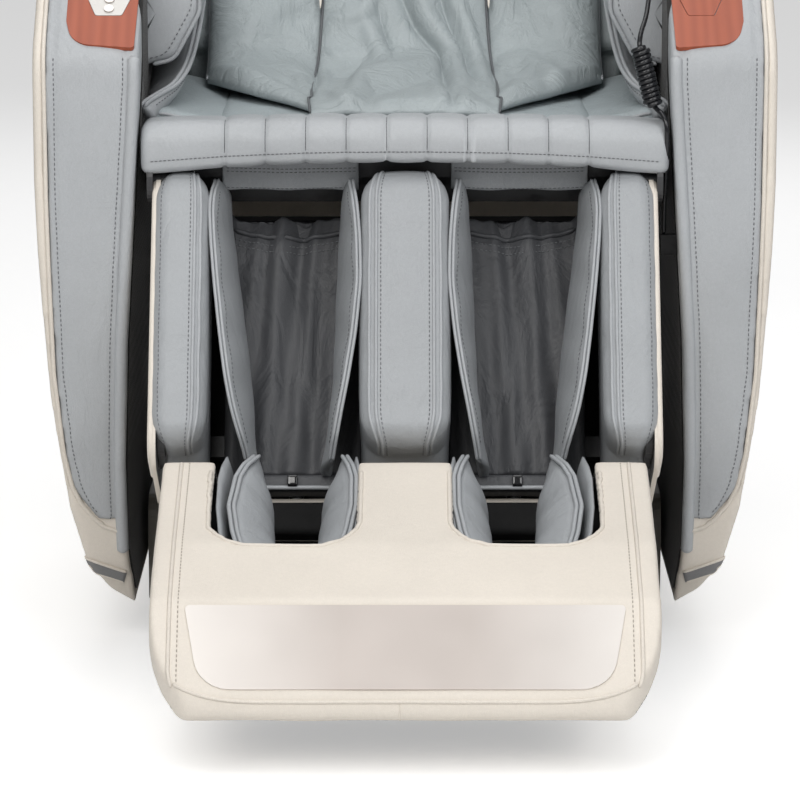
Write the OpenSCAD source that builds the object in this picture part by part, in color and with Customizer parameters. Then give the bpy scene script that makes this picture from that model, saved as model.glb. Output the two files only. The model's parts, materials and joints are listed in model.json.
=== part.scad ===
// Full-body massage chair with calf and foot massage, zero-gravity tilt and a travelling roller carriage.
// Millimetres. The sitter faces -Y; left and right are the sitter's own, so left is +X. Z = 0 is the floor.
// Every module is drawn with y = 0 at the front of the arms; placed() then centres the chair's length on y = 0.

/* [Overall] */
// Width over the two arms
chair_w = 748; // [742:2:756]
// Height of the seat cushion's top above the floor
seat_z = 552; // [548:1:554]

/* [Joints at rest] */
// Lean of the backrest from upright
back_lean = 25; // [23:1:27]
// Lean of the calf rest from hanging straight down
calf_lean = 30; // [29:1:31]

/* [Massage carriage] */
// Radius of one back roller
roller_r = 26; // [24:1:27]
// Distance from a rocker's pivot to each of its rollers, along the back
rocker_reach = 62; // [58:1:64]

/* [Handset cord] */
// Diameter of the cord
cord_d = 5; // [4.5:0.5:5]
// Outer diameter of the curled stretch
curl_d = 20; // [18:1:20]

/* [Hidden] */
$fn = 48;
mid_y = 236.4936;                    // middle of the chair's length, measured from the front of the arms

inner_x = 266;                   // inner face of each arm at seat height
outer_x = chair_w / 2;           // outer face of each arm
plate_x = 254;                   // inner face of the seat frame's side plates
plate_t = 6;
side_x = 251;                    // half width of what moves between the seat plates
tilt_pivot = [430, 150];         // zero-gravity pivot, as [y, z]
back_pivot = [455, 430];         // recline pivot
calf_pivot = [30, 497];          // leg rest pivot
pin_r = 9.95;
bore_r = 10;
small_pin_r = 7.95;
small_bore_r = 8;
fit = 0.05;                      // radial clearance of a plain running fit

function unit(v) = v / norm(v);
// The arc that rounds the corner q, between its neighbours p and s, to the radius q[2].
function corner(p, q, s, n) =
    let (b = [q[0], q[1]], u = unit([p[0], p[1]] - b), v = unit([s[0], s[1]] - b),
         half = acos(max(-1, min(1, u * v))) / 2, reach = q[2] / tan(half),
         centre = b + unit(u + v) * (q[2] / sin(half)),
         p0 = b + u * reach - centre, p1 = b + v * reach - centre,
         a0 = atan2(p0[1], p0[0]), sweep = atan2(p1[1], p1[0]) - a0,
         turn = sweep > 180 ? sweep - 360 : sweep < -180 ? sweep + 360 : sweep)
    [for (i = [0 : n]) centre + q[2] * [cos(a0 + turn * i / n), sin(a0 + turn * i / n)]];
// An outline through [a, b, radius] points, with each corner rounded to its own radius.
function rounded(pts, n = 6) = [for (i = [0 : len(pts) - 1])
    let (p = pts[(i + len(pts) - 1) % len(pts)], q = pts[i], s = pts[(i + 1) % len(pts)])
    each (len(q) < 3 || q[2] == 0 ? [[q[0], q[1]]] : corner(p, q, s, n))];
// An outline shrunk about a centre point.
function shrunk(pts, c, k) = [for (p = pts) c + (p - c) * k];

module along_x(x0, x1, pts) translate([x0, 0, 0]) rotate([90, 0, 90]) linear_extrude(x1 - x0) polygon(pts);
module along_y(y0, y1, pts) translate([0, y1, 0]) rotate([90, 0, 0]) linear_extrude(y1 - y0) polygon(pts);
module box(x0, x1, y0, y1, z0, z1) translate([x0, y0, z0]) cube([x1 - x0, y1 - y0, z1 - z0]);
module pin_x(x0, x1, at, r) translate([x0, at[0], at[1]]) rotate([0, 90, 0]) cylinder(r = r, h = x1 - x0);
module both_sides() { children(); mirror([1, 0, 0]) children(); }
module left_side() children();
module right_side() mirror([1, 0, 0]) children();
module placed() translate([0, -mid_y, 0]) children();

// ---- base, which stands on the floor
rail_x0 = 200;
rail_x1 = 240;
rail_z0 = 30;
rail_z1 = 70;
wheel_at = [618, 36];
module base_frame() color("dimgray") both_sides() difference() {
    union() {
        box(rail_x0, rail_x1, 130, 640, rail_z0, rail_z1);
        pin_x(rail_x1 - 1, 263, wheel_at, 6);
        along_x(rail_x1 - 1, 250, rounded([[385, 30], [475, 30], [464, 184, 30], [396, 184, 30]]));
    }
    pin_x(rail_x1 - 5, 255, tilt_pivot, bore_r);
}
module base_crossbars() color("dimgray") for (y = [130, 412, 566])
    box(-rail_x0, rail_x0, y, y + 38, rail_z0, rail_z1);
module base_feet() color("black") both_sides() for (y = [160, 600])
    translate([220, y, 0]) cylinder(r1 = 24, r2 = 20, h = rail_z0);
module base_skirts() color("gray") both_sides() {
    along_x(268, 278, rounded([[244, 5, 10], [645, 5, 14], [645, 120, 30], [244, 120, 30]]));
    for (y = [280, 520]) box(rail_x1, 268, y, y + 30, 40, 64);
}
module transport_wheels() color("black") both_sides() difference() {
    pin_x(245, 261, wheel_at, 31);
    pin_x(244, 262, wheel_at, 6 + fit);
}
cover_outline = [[-198, 70, 16], [198, 70, 16], [186, 258, 50], [-186, 258, 50]];
cover_inside = [[-194, 74, 12], [194, 74, 12], [182, 254, 46], [-182, 254, 46]];
switch_at = [640, 108];
module rear_cover() color("gainsboro") difference() {
    along_y(572, 640, rounded(cover_outline));
    along_y(570, 636, rounded(cover_inside));
    for (z = [160 : 14 : 216]) box(-90, 90, 630, 645, z, z + 5);
    box(-171, -123, 630, 645, 95, 121);
    box(-107, -85, 630, 645, switch_at[1] - 15, switch_at[1] + 15);
}
module power_inlet() color("black") difference() {
    union() {
        box(-171, -123, 606, 640, 95, 121);
        box(-177, -117, 640, 643, 89, 127);
    }
    box(-159, -135, 622, 645, 101, 115);
}
module power_switch() color("firebrick")
    translate([0, switch_at[0], switch_at[1]]) rotate([-8, 0, 0]) {
        box(-105, -87, -6, 8, -11.5, 11.5);
        pin_x(-106.9, -85.1, [0, 0], 1.6);
    }
module control_box() color("silver") union() {
    box(-70, 178, 582, 628, 74, 140);
    for (i = [0 : 7]) box(-60 + i * 30, -56 + i * 30, 584, 626, 139, 152);
}
module air_pumps() color("dimgray") {
    box(-110, 110, 140, 440, rail_z1, rail_z1 + 8);
    for (x = [-56, 56]) box(x - 44, x + 44, 200, 330, rail_z1 + 8, 160);
}
module tilt_gearmotors() color("dimgray") both_sides() {
    box(160, 226, 412, 448, rail_z1, 112);
    pin_x(150, 227.5, tilt_pivot, 40);
}

// ---- arms, fixed to the seat frame so that they tilt with the seat
arm_centre = [326, 386];
arm_outline = rounded([[400, 34, 200], [560, 70, 90], [640, 150, 90], [652, 690, 70], [560, 742, 60],
                       [300, 732, 300], [96, 705, 80], [6, 630, 50], [0, 420, 400], [20, 230, 300], [60, 92, 60], [100, 34, 24]]);
arm_outer_edge = [[280, 20], [284, 40], [308, 57], [330, 89], [346, 152], [362, 278], [370, 403], [outer_x, 500], [outer_x, 800]];
arm_inner_edge = [[inner_x, 800], [inner_x, 600], [283, 330], [287, 200], [287, 110], [280, 20]];
module arm_block() intersection() {
    along_x(inner_x, outer_x, arm_outline);
    along_y(-10, 700, concat(arm_inner_edge, arm_outer_edge));
}
// What the padded front and top covers: the rest of the arm is shell.
module arm_front_zone() intersection() {
    along_x(200, 362, rounded([[-20, 100], [48, 100], [44, 600, 40], [120, 676, 40], [310, 702], [600, 712], [600, 820], [-20, 820]]));
    along_y(-20, 700, rounded([[200, 132], [288, 127], [312, 134, 10], [344, 178, 40], [356, 300], [360, 480], [362, 820], [200, 820]]));
}
module arm_hollow() intersection() {
    along_x(200, outer_x, shrunk(arm_outline, arm_centre, 0.965));
    along_y(-10, 700, concat([[200, 800], [200, 20]], [for (p = arm_outer_edge) [p[0] - 6, p[1]]]));
}
module arm_shell() color("antiquewhite") difference() {
    arm_block();
    arm_hollow();
    arm_front_zone();
}
module arm_cushion() color("lightslategray") difference() {
    intersection() { arm_block(); arm_front_zone(); }
    trim_pocket();
    // room behind the pad for the inner panel
    along_y(60, 700, [[inner_x - 1, 690], [272, 690], [272, 600], [290, 330], [290, 20], [inner_x - 1, 20]]);
}
module arm_inner_panels() color("dimgray") both_sides() intersection() {
    along_x(200, 300, shrunk(arm_outline, arm_centre, 0.955));
    along_y(60.5, 700, [[inner_x, 689.5], [inner_x, 600], [283, 330], [287, 200], [287, 110], [280, 20],
                        [285, 20], [289.5, 110], [289.5, 330], [271.5, 600], [271.5, 689.5]]);
}

// Wood-grained panel over the arm's front slope, drawn flat: x across, y up the slope from its foot, z outwards.
slope_foot = [6, 630];
slope_angle = atan2(75, 90);
module on_slope() translate([0, slope_foot[0], slope_foot[1]]) rotate([slope_angle, 0, 0]) children();
trim_x0 = 268;
trim_x1 = 341;
trim_thick = 5;
trim_outline = [[271, 3, 4], [334, 9, 24], [trim_x1, 40, 10], [trim_x1, 112], [trim_x0, 112]];
module trim_slab(grow, h0, h1) on_slope() translate([0, 0, h0]) linear_extrude(h1 - h0)
    polygon([for (p = rounded(trim_outline)) [305, 60] + (p - [305, 60]) * grow]);
module trim_pocket() trim_slab(1, -3, 30);
module arm_trim() color("sienna") difference() {
    trim_slab(0.99, -3, trim_thick - 3);
    key_bay(1, -4, 4);
    lid_pin(1.15, 269, 328.5);
}
// A trapezoid bay in the panel, narrow at its lower edge.
bay = [[285, 48, 3], [312, 48, 3], [328, 92, 3], [270, 92, 3]];
bay_centre = [298.5, 70];
module key_bay(grow, h0, h1) on_slope() translate([0, 0, h0]) linear_extrude(h1 - h0)
    polygon([for (p = rounded(bay, 3)) bay_centre + (p - bay_centre) * grow]);
key_rows = [57, 70, 83];
key_r = 5;
module key_holes(r, h0, h1) on_slope() for (s = key_rows) translate([bay_centre[0], s, h0]) cylinder(r = r, h = h1 - h0);
module key(i) color("silver") right_side()
    on_slope() translate([bay_centre[0], key_rows[i], -0.8]) cylinder(r = key_r, h = 5);
module key_power() key(0);
module key_recline() key(1);
module key_sit_up() key(2);
lid_hinge = [88, 0.6];           // [up the slope, outwards] of the lid's hinge pin
module lid_pin(r, x0, x1) on_slope() translate([x0, lid_hinge[0], lid_hinge[1]]) rotate([0, 90, 0]) cylinder(r = r, h = x1 - x0);
module charging_lid() color("chocolate") left_side() union() {
    intersection() {
        key_bay(0.96, 0, 1.8);
        on_slope() translate([200, 0, -5]) cube([200, lid_hinge[0] - 0.4, 20]);
    }
    lid_pin(1.1, 269.5, 328);
}
// The right bay's key plate, and the left bay's charging socket under the lid.
module console_plates() color("white") {
    right_side() difference() {
        key_bay(0.98, -3, 2.4);
        key_holes(key_r + 0.1, -2.4, 5);
    }
    left_side() difference() {
        key_bay(0.98, -3, -0.8);
        on_slope() translate([291, 60, -2.4]) cube([15, 7, 5]);
    }
}
module arm_shells() both_sides() arm_shell();
module arm_cushions() both_sides() arm_cushion();
module arm_trims() both_sides() arm_trim();
// Air cells between the sitter and the arms: the upper pair presses the forearms, the lower pair the hips.
module side_airbags() color("lightslategray") both_sides() {
    along_y(150, 380, rounded([[inner_x, 598, 0], [inner_x, 700, 0], [214, 700, 16], [214, 660, 20], [236, 610, 12]]));
    along_x(200, 257, rounded([[110, seat_z + 4, 8], [384, seat_z + 4, 6], [392, 590, 12], [150, 590, 20]]));
}

// ---- seat
module seat_side_plates() color("dimgray") both_sides() {
    along_x(plate_x, plate_x + plate_t, rounded([[398, 150, 20], [405, 116, 24], [455, 116, 24], [462, 150, 20],
        [492, 425, 40], [484, 468, 20], [380, 484, 10], [60, 517, 10], [6, 517, 18], [6, 477, 18], [60, 474, 20],
        [330, 446, 30], [385, 400, 40]]));
    pin_x(228, plate_x + 1, tilt_pivot, pin_r);
    pin_x(237, plate_x + 1, back_pivot, pin_r);
    pin_x(237, plate_x + 1, calf_pivot, small_pin_r);
    for (p = [[200, 484], [340, 470]]) pin_x(plate_x + plate_t - 1, arm_stud_x, p, 9);
}
arm_stud_x = 272.7;               // the studs end at the arms' inner panels
module seat_crossbars() color("dimgray") {
    for (y = [160, 340]) box(-plate_x, plate_x, y, y + 26, 456, 482);
    box(-plate_x, plate_x, 60, 78, 496, 518);
    both_sides() box(24, 30, 160, 186, 340, 456);
}
module seat_pan() color("burlywood") box(-235, 235, 100, 386, 482, 492);
module seat_cushion() color("lightslategray")
    along_x(-196, 196, rounded([[82, 492, 4], [372, 492, 6], [392, seat_z, 20], [82, seat_z, 16]]));
// The front roll, and the skirt that hangs below it.
module seat_roll() color("lightslategray") {
    along_x(-253, 253, rounded([[4, 520, 20], [76, 518.2, 3], [76, 560, 18], [4, 560, 20]]));
    both_sides() along_x(47, 181, [[60, 480], [65, 480], [65, 495.8], [60, 495.8]]);
}

// ---- backrest, drawn upright about its pivot: z up the back, y to the rear
module in_back() translate([0, back_pivot[0], back_pivot[1]]) rotate([-back_lean, 0, 0]) children();
back_top = 820;
lever_r = 70;                    // from the recline pivot to the pin that the actuator pulls
lever_swing = 22.5;              // half the recline angle, so that the pin swings evenly about straight down
lever_angle = back_lean + lever_swing;
lever_at = lever_r * [sin(lever_angle), -cos(lever_angle)];
module back_posts() color("dimgray") in_back() both_sides() difference() {
    union() {
        box(212, 236, 8, 36, 60, back_top - 20);
        along_x(236, 246, rounded([[-30, -30, 28], [34, -30, 28], [36, 150, 10], [8, 150, 10]]));
    }
    pin_x(230, 250, [0, 0], bore_r);
}
module back_crossbars() color("dimgray") in_back() {
    difference() {
        for (z = [60, back_top - 46]) {
            box(-212, 212, 10, 34, z, z + 26);
            box(-20, 20, 34, 62, z + 3, z + 23);
        }
        for (z = [55, back_top - 50]) translate([0, 48, z]) cylinder(r = 7 + fit, h = 40);
    }
    back_levers();
}
module back_levers() both_sides() union() {
    along_x(30, 38, rounded([[10, 61], [34, 61], [40, -20, 20], [lever_at[0] + 12, lever_at[1] - 4, 10],
                             [lever_at[0] - 6, lever_at[1] - 14, 10], [10, -10, 20]]));
    pin_x(0, 31, lever_at, 6);
}
// Two channel rails for the carriage's wheels, and the lead screw that drives it.
module carriage_track() color("silver") in_back() {
    both_sides() difference() {
        box(172, 192, 10, 34, 86, back_top - 46);
        box(160, 188, 14, 30, 80, back_top);
    }
    translate([0, 48, 63]) cylinder(r = 7, h = back_top - 86);
    translate([0, 48, 83.5]) cylinder(r = 10, h = 6);
}
shell_x = 326;
shell_y0 = -64;
shell_y1 = 100;
shoulder_z = 350;
function shell_view(d) = rounded([[-side_x + d, -24 - d, 1], [side_x - d, -24 - d, 1], [side_x - d, shoulder_z + d],
    [shell_x - d, shoulder_z + d, 30], [shell_x - d, 640, 200], [270 - d, 880 - d, 110], [d - 270, 880 - d, 110],
    [d - shell_x, 640, 200], [d - shell_x, shoulder_z + d, 30], [d - side_x, shoulder_z + d]]);
module back_shell() color("antiquewhite") in_back() difference() {
    along_y(shell_y0, shell_y1, shell_view(0));
    along_y(shell_y0 - 5, shell_y1 - 5, shell_view(4));
    both_sides() pin_x(240, 260, [0, 0], 13);
}
module back_cushion() color("lightslategray") in_back() union() {
    along_y(-98, -70, rounded([[-240, 84, 20], [240, 84, 20], [240, back_top + 20, 60], [-240, back_top + 20, 60]]));
    both_sides() along_x(160, 240, rounded([[-118, 130, 20], [-97, 86, 10], [-97, back_top - 20], [-118, back_top - 60, 20]]));
}
module back_center_pad() color("lightslategray") in_back()
    along_x(-88, 88, rounded([[-124, 92, 12], [-98.3, 84, 6], [-98.3, 620], [-118, 600, 12]]));
module shoulder_pads() color("lightslategray") in_back()
    both_sides() along_x(252, 308, rounded([[-180, 440, 34], [-64.3, 400, 14], [-64.3, 680, 20], [-170, 640, 50]]));
module head_pillow() color("lightslategray") in_back()
    along_x(-150, 150, rounded([[-152, 670, 24], [-98.3, 640, 10], [-98.3, 800, 10], [-146, 790, 24]]));

// ---- massage carriage, drawn in the backrest's frame
car_z = 255;                     // height of the rocker shaft up the back at rest
shaft_y = -5;
axle_y = -30;                    // the rollers' axles stand in front of the rocker shaft
module massage_carriage() color("gray") in_back() difference() {
    union() {
        box(-164, 164, 14, 29, car_z - 70, car_z + 70);
        both_sides() for (z = [car_z - 55, car_z + 55]) pin_x(160, 186, [22, z], 7.6);
        both_sides() for (x = [36, 100]) box(x, x + 10, -18, 14, car_z - 22, car_z + 22);
        both_sides() pin_x(40, 106, [shaft_y, car_z], 8);
        box(-60, 60, 28, 84, car_z - 48, car_z + 20);
        both_sides() pin_x(59, 120, [56, car_z - 16], 24);
    }
    translate([0, 48, car_z - 100]) cylinder(r = 7 + fit, h = 300);
}
module rockers() color("dimgray") in_back() both_sides() difference() {
    union() {
        pin_x(66, 80, [shaft_y, car_z], 16);
        for (s = [-1, 1]) {
            along_x(66, 80, [[shaft_y - 12, car_z - s * 6], [shaft_y + 12, car_z + s * 6],
                             [axle_y + 9, car_z + s * rocker_reach], [axle_y - 9, car_z + s * rocker_reach]]);
            pin_x(52, 94, [axle_y, car_z + s * rocker_reach], 5);
            pin_x(66, 80, [axle_y, car_z + s * rocker_reach], 10);
        }
    }
    pin_x(60, 90, [shaft_y, car_z], 8 + fit);
}
module rollers(s) color("black") in_back() both_sides() for (x = [54, 80.5]) difference() {
    pin_x(x, x + 11.5, [axle_y, car_z + s * rocker_reach], roller_r);
    pin_x(x - 1, x + 13, [axle_y, car_z + s * rocker_reach], 5 + fit);
}
module rollers_upper() rollers(1);
module rollers_lower() rollers(-1);

// Recline actuator: a fixed motor and tube, and a rod whose slotted fork holds the backrest's lever pin.
rod_z = back_pivot[1] - lever_r * (1 + cos(lever_swing)) / 2;
fork_y = back_pivot[0] + lever_r * sin(lever_swing);
module recline_actuator() color("black") difference() {
    union() {
        translate([0, 190, rod_z]) rotate([-90, 0, 0]) cylinder(r = 20, h = 190);
        box(-24, 24, 162, 192, rod_z - 18, rod_z + 50);
    }
    translate([0, 215, rod_z]) rotate([-90, 0, 0]) cylinder(r = 10 + fit, h = 200);
}
module actuator_rod() color("silver") difference() {
    union() {
        translate([0, 290, rod_z]) rotate([-90, 0, 0]) cylinder(r = 10, h = 165);
        box(-26, 26, 450, 500, rod_z - 18, rod_z + 18);
    }
    box(-30, 30, fork_y - 6.6, fork_y + 6.6, rod_z - 9.5, rod_z + 9.5);
}

// ---- leg rest, drawn about its pivot as if it hung straight down: z up, y to the rear
module in_leg() translate([0, calf_pivot[0], calf_pivot[1]]) rotate([-calf_lean, 0, 0]) children();
function leg_point(p) = calf_pivot + [p[0] * cos(calf_lean) + p[1] * sin(calf_lean),
                                      p[1] * cos(calf_lean) - p[0] * sin(calf_lean)];
leg_front = -27;
leg_top = 8;
leg_foot = -306;
leg_back = 126;
lining_y = 92;
guide = [110, 108];              // [x, y] of the guide tubes and their rods
pad_outline = rounded([[leg_front, leg_foot, 14], [lining_y + 8, leg_foot, 4], [lining_y + 8, leg_top, 12], [leg_front, leg_top, 35]]);
module leg_side_plates() color("dimgray") in_leg() both_sides() difference() {
    along_x(238, 245, rounded([[-12, -290, 20], [119, -290, 8], [119, 4, 12], [-12, 12, 18]]));
    pin_x(230, 250, [0, 0], small_bore_r);
}
module leg_crossbars() color("dimgray") in_leg() for (z = [-70, -262]) difference() {
    box(-238, 238, 100.5, 116, z, z + 22);
    both_sides() translate([guide[0], guide[1], z - 5]) cylinder(r = 11.55, h = 40);
}
module leg_guides() color("silver") in_leg() both_sides() difference() {
    translate([guide[0], guide[1], -275]) cylinder(r = 11.5, h = 250);
    translate([guide[0], guide[1], -280]) cylinder(r = 8 + fit, h = 260);
}
module calf_shell() color("antiquewhite") in_leg() difference() {
    along_x(-side_x, side_x, rounded([[leg_front + 8, leg_foot, 30], [leg_back, leg_foot, 10], [leg_back, 12, 14], [leg_front + 8, leg_top, 34]]));
    box(5 - side_x, side_x - 5, -60, leg_back - 5, leg_foot - 5, 30);
    both_sides() pin_x(240, 260, [0, 0], 12);
}
module calf_pads_outer() color("lightslategray") in_leg() both_sides() along_x(184, 236, pad_outline);
module calf_pad_center() color("lightslategray") in_leg() along_x(-43, 43, pad_outline);
// The back of each calf channel, with a bar and a clip across its lower end.
module calf_linings() color("dimgray") in_leg() both_sides() {
    box(43.5, 183.5, lining_y, lining_y + 4, -282, -6);
    box(43.5, 183.5, 74, lining_y + 4, leg_foot, -288);
    box(108, 118, 68, 75, -303, -291);
}
module calf_flaps() color("lightslategray") in_leg() both_sides() for (f = [[52, 4], [175, -4]])
    translate([f[0], lining_y - 1, 0]) rotate([0, 0, f[1]])
        along_x(-4, 4, rounded([[-104, -270, 40], [0, -286, 4], [0, -10, 4], [-100, -12, 40]]));

// ---- foot unit, which slides on the leg rest's guide rods
foot_x = 238;
foot_gap = 2;
foot_top = leg_foot - foot_gap;
toe_top = [-380, 163];
toe_foot = [-440, 91];
sole_x = 162;                    // half width of the sole
sole_y = -330;                   // the sole's front end, where the toe starts to rise off the floor
foot_outline = [concat(leg_point([leg_front, foot_top]), 8), [-300, 198, 60], concat(toe_top, 10), concat(toe_foot, 14),
                [-449, 64, 14], [sole_y, 44, 60], [-118, 44, 30], concat(leg_point([leg_back, foot_top]), 8)];
foot_inside = [leg_point([leg_front + 10, foot_top - 8]), [-300, 188], [-376, 154], [-431, 88], [-438, 72, 6], [sole_y, 53],
               [-122, 52, 24], leg_point([118, -345]), leg_point([94, -345]), leg_point([94, foot_top - 8])];
well_x0 = 47;
well_x1 = 186;
module foot_mouth() intersection() {
    linear_extrude(320) polygon(rounded([[well_x0, -300, 40], [well_x1, -300, 40], [well_x1, 60], [well_x0, 60]]));
    along_x(well_x0, well_x1, [[-310, 130], [-100, 130], leg_point([93.9, -340]), leg_point([93.9, -200]), [-310, 300]]);
}
// The toe's corners seen from above, d inside the shell's outer face.
module toe_plan(d) linear_extrude(320)
    polygon(rounded([[d - foot_x, 100], [d - foot_x, d - 449, 60 - d], [foot_x - d, d - 449, 60 - d], [foot_x - d, 100]]));
// The unit's lower edges seen from the front, d inside the shell's outer face.
module foot_view(d) along_y(-460, 160,
    rounded([[d - foot_x, 330], [d - foot_x, 44 + d, 75 - d], [foot_x - d, 44 + d, 75 - d], [foot_x - d, 330]]));
module foot_shell() color("antiquewhite") difference() {
    intersection() {
        along_x(-foot_x, foot_x, rounded(foot_outline));
        toe_plan(0);
        foot_view(0);
    }
    intersection() {
        both_sides() along_x(well_x0, foot_x - 8, rounded(foot_inside));
        toe_plan(8);
        foot_view(8);
    }
    both_sides() foot_mouth();
    on_toe() translate([0, 0, -2]) linear_extrude(10) polygon(toe_plate);
    box(-sole_x, sole_x, sole_y, -128, 30, 56);
    for (y = roller_ys) pin_x(-50, 50, [y, roller_z], 5);
}
toe_length = norm(toe_top - toe_foot);
module on_toe() translate([0, toe_foot[0], toe_foot[1]])
    rotate([atan2(toe_top[1] - toe_foot[1], toe_top[0] - toe_foot[0]), 0, 0]) children();
toe_plate = rounded([[-190, 2, 34], [190, 2, 34], [205, toe_length - 6, 4], [-205, toe_length - 6, 4]]);
module foot_trim() color("silver") on_toe() translate([0, 0, -2]) linear_extrude(3) polygon(toe_plate);
roller_ys = [-290, -205];
roller_z = 86;
module foot_sole() color("dimgray") difference() {
    union() {
        box(-sole_x, sole_x, sole_y, -128, 44, 56);
        both_sides() for (y = roller_ys) {
            box(49, 57, y - 12, y + 12, 56, 98);
            box(150, 184, y - 12, y + 12, 56, 60);
            box(177, 184, y - 12, y + 12, 56, 98);
        }
    }
    for (y = roller_ys) pin_x(-230, 230, [y, roller_z], 4 + fit);
}
module foot_rods() color("silver") in_leg() both_sides()
    translate([guide[0], guide[1], foot_top]) cylinder(r = 8, h = 268);
module foot_flaps() color("lightslategray") both_sides() for (x = [57.2, 178.8])
    along_x(x - 3, x + 3, rounded([[-292, 120, 20], [-150, 120, 20], [-120, 190, 20], [-160, 218, 20], [-276, 186, 30]]));
module foot_roller(y) color("black") union() {
    pin_x(-190, 190, [y, roller_z], 4);
    both_sides() for (i = [0 : 3]) pin_x(62 + i * 28, 82 + i * 28, [y, roller_z], i == 0 || i == 3 ? 22 : 17);
}
module foot_roller_front() foot_roller(roller_ys[0]);
module foot_roller_rear() foot_roller(roller_ys[1]);

// ---- handset, its holder and its cord
handset_y = 201;
gland_z = 742;
// A cup on top of the left arm, open at the top and slotted for the cord.
module handset_holder() color("dimgray") left_side() difference() {
    along_x(272, 304, rounded([[172, 700], [230, 700], [230, 790, 8], [172, 790, 8]]));
    box(275.5, 300.5, 177, 225, 734, 800);
    box(271, 276, handset_y - 6, handset_y + 6, gland_z - 6, 800);
    arm_block();
}
module handset() color("black") left_side() union() {
    along_x(276, 300, rounded([[177.5, 734.5, 4], [224.5, 734.5, 4], [224.5, 905, 14], [177.5, 905, 14]]));
    pin_x(264, 277, [handset_y, gland_z], 4.5);
}
module cord_gland() color("black") left_side() box(260.6, 276, 34, 46, 420, 440);
// The cord's route, as [x, y, z]: from the gland between seat and arm up to the curl, then on to the handset.
curl_foot = [250, 22, 574];
curl_head = [236, 28, 632];
lower_route = [[263.2, 40, 440.2], [263.2, 40, 447], [263.2, 39, 455], [263.2, 36, 470], [263.2, 30, 485], [263.2, 22, 500],
    [263.2, 14, 514], [263.2, 8, 528], [263.2, 5, 542], [262.8, 5, 553], [261.4, 8, 561], [258.4, 13, 566],
    [254.6, 18.2, 569.4], [251, 21.4, 571.6], curl_foot];
upper_route = [curl_head, [235.6, 28.6, 634.5], [236, 31, 639], [238, 36, 645], [241, 45, 653], [244, 57, 662], [246.6, 72, 672],
    [248.6, 88, 682], [250.2, 104, 691], [251.4, 120, 700], [252, 136, 708.4], [252, 152, 716.6],
    [252, 166, 724], [252.2, 179, 731], [253, 190, 736.6], [255, 197, 740.4], [258.6, 200.4, 741.8],
    [262, handset_y, gland_z], [263.6, handset_y, gland_z]];
function curl_dir() = unit(curl_head - curl_foot);
// A ring of n points round a point of the route, square to the way the route runs there.
function ring(c, t, r, n) = let (u = unit(cross(t, [0.3, 1, 0])), v = cross(u, t))
    [for (i = [0 : n - 1]) c + r * (u * cos(360 * i / n) + v * sin(360 * i / n))];
function way(p, i) = unit(p[min(i + 1, len(p) - 1)] - p[max(i - 1, 0)]);
module tube(p, r, n = 8) let (m = len(p),
    pts = [for (i = [0 : m - 1]) each ring(p[i], way(p, i), r, n)],
    sides = [for (i = [0 : m - 2], j = [0 : n - 1], h = [0, 1])
        [i * n + j, h == 0 ? i * n + (j + 1) % n : (i + 1) * n + (j + 1) % n, (i + 1) * n + (h == 0 ? (j + 1) % n : j)]])
    polyhedron(pts, concat(sides, [[for (j = [n - 1 : -1 : 0]) j], [for (j = [0 : n - 1]) (m - 1) * n + j]]), convexity = 6);
module cord_line() color("black") {
    tube(lower_route, cord_d / 2);
    tube(upper_route, cord_d / 2);
}
module cord_curl() color("black") let (d = curl_dir(), a = acos(d[2]), b = atan2(d[1], d[0]))
    translate(curl_foot) rotate([0, a, b]) cylinder(r = curl_d / 2, h = norm(curl_head - curl_foot));

placed() base_frame();
placed() base_crossbars();
placed() base_feet();
placed() base_skirts();
placed() transport_wheels();
placed() rear_cover();
placed() power_inlet();
placed() power_switch();
placed() control_box();
placed() air_pumps();
placed() tilt_gearmotors();
placed() arm_shells();
placed() arm_cushions();
placed() arm_inner_panels();
placed() arm_trims();
placed() console_plates();
placed() key_power();
placed() key_recline();
placed() key_sit_up();
placed() charging_lid();
placed() side_airbags();
placed() seat_side_plates();
placed() seat_crossbars();
placed() seat_pan();
placed() seat_cushion();
placed() seat_roll();
placed() back_posts();
placed() back_crossbars();
placed() carriage_track();
placed() back_shell();
placed() back_cushion();
placed() back_center_pad();
placed() shoulder_pads();
placed() head_pillow();
placed() massage_carriage();
placed() rockers();
placed() rollers_upper();
placed() rollers_lower();
placed() recline_actuator();
placed() actuator_rod();
placed() leg_side_plates();
placed() leg_crossbars();
placed() leg_guides();
placed() calf_shell();
placed() calf_pads_outer();
placed() calf_pad_center();
placed() calf_linings();
placed() calf_flaps();
placed() foot_shell();
placed() foot_trim();
placed() foot_sole();
placed() foot_rods();
placed() foot_flaps();
placed() foot_roller_front();
placed() foot_roller_rear();
placed() handset_holder();
placed() handset();
placed() cord_gland();
placed() cord_line();
placed() cord_curl();
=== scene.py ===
import json
import math
import bpy
import bmesh
import numpy as np
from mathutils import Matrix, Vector, noise
from mathutils.bvhtree import BVHTree

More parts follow.
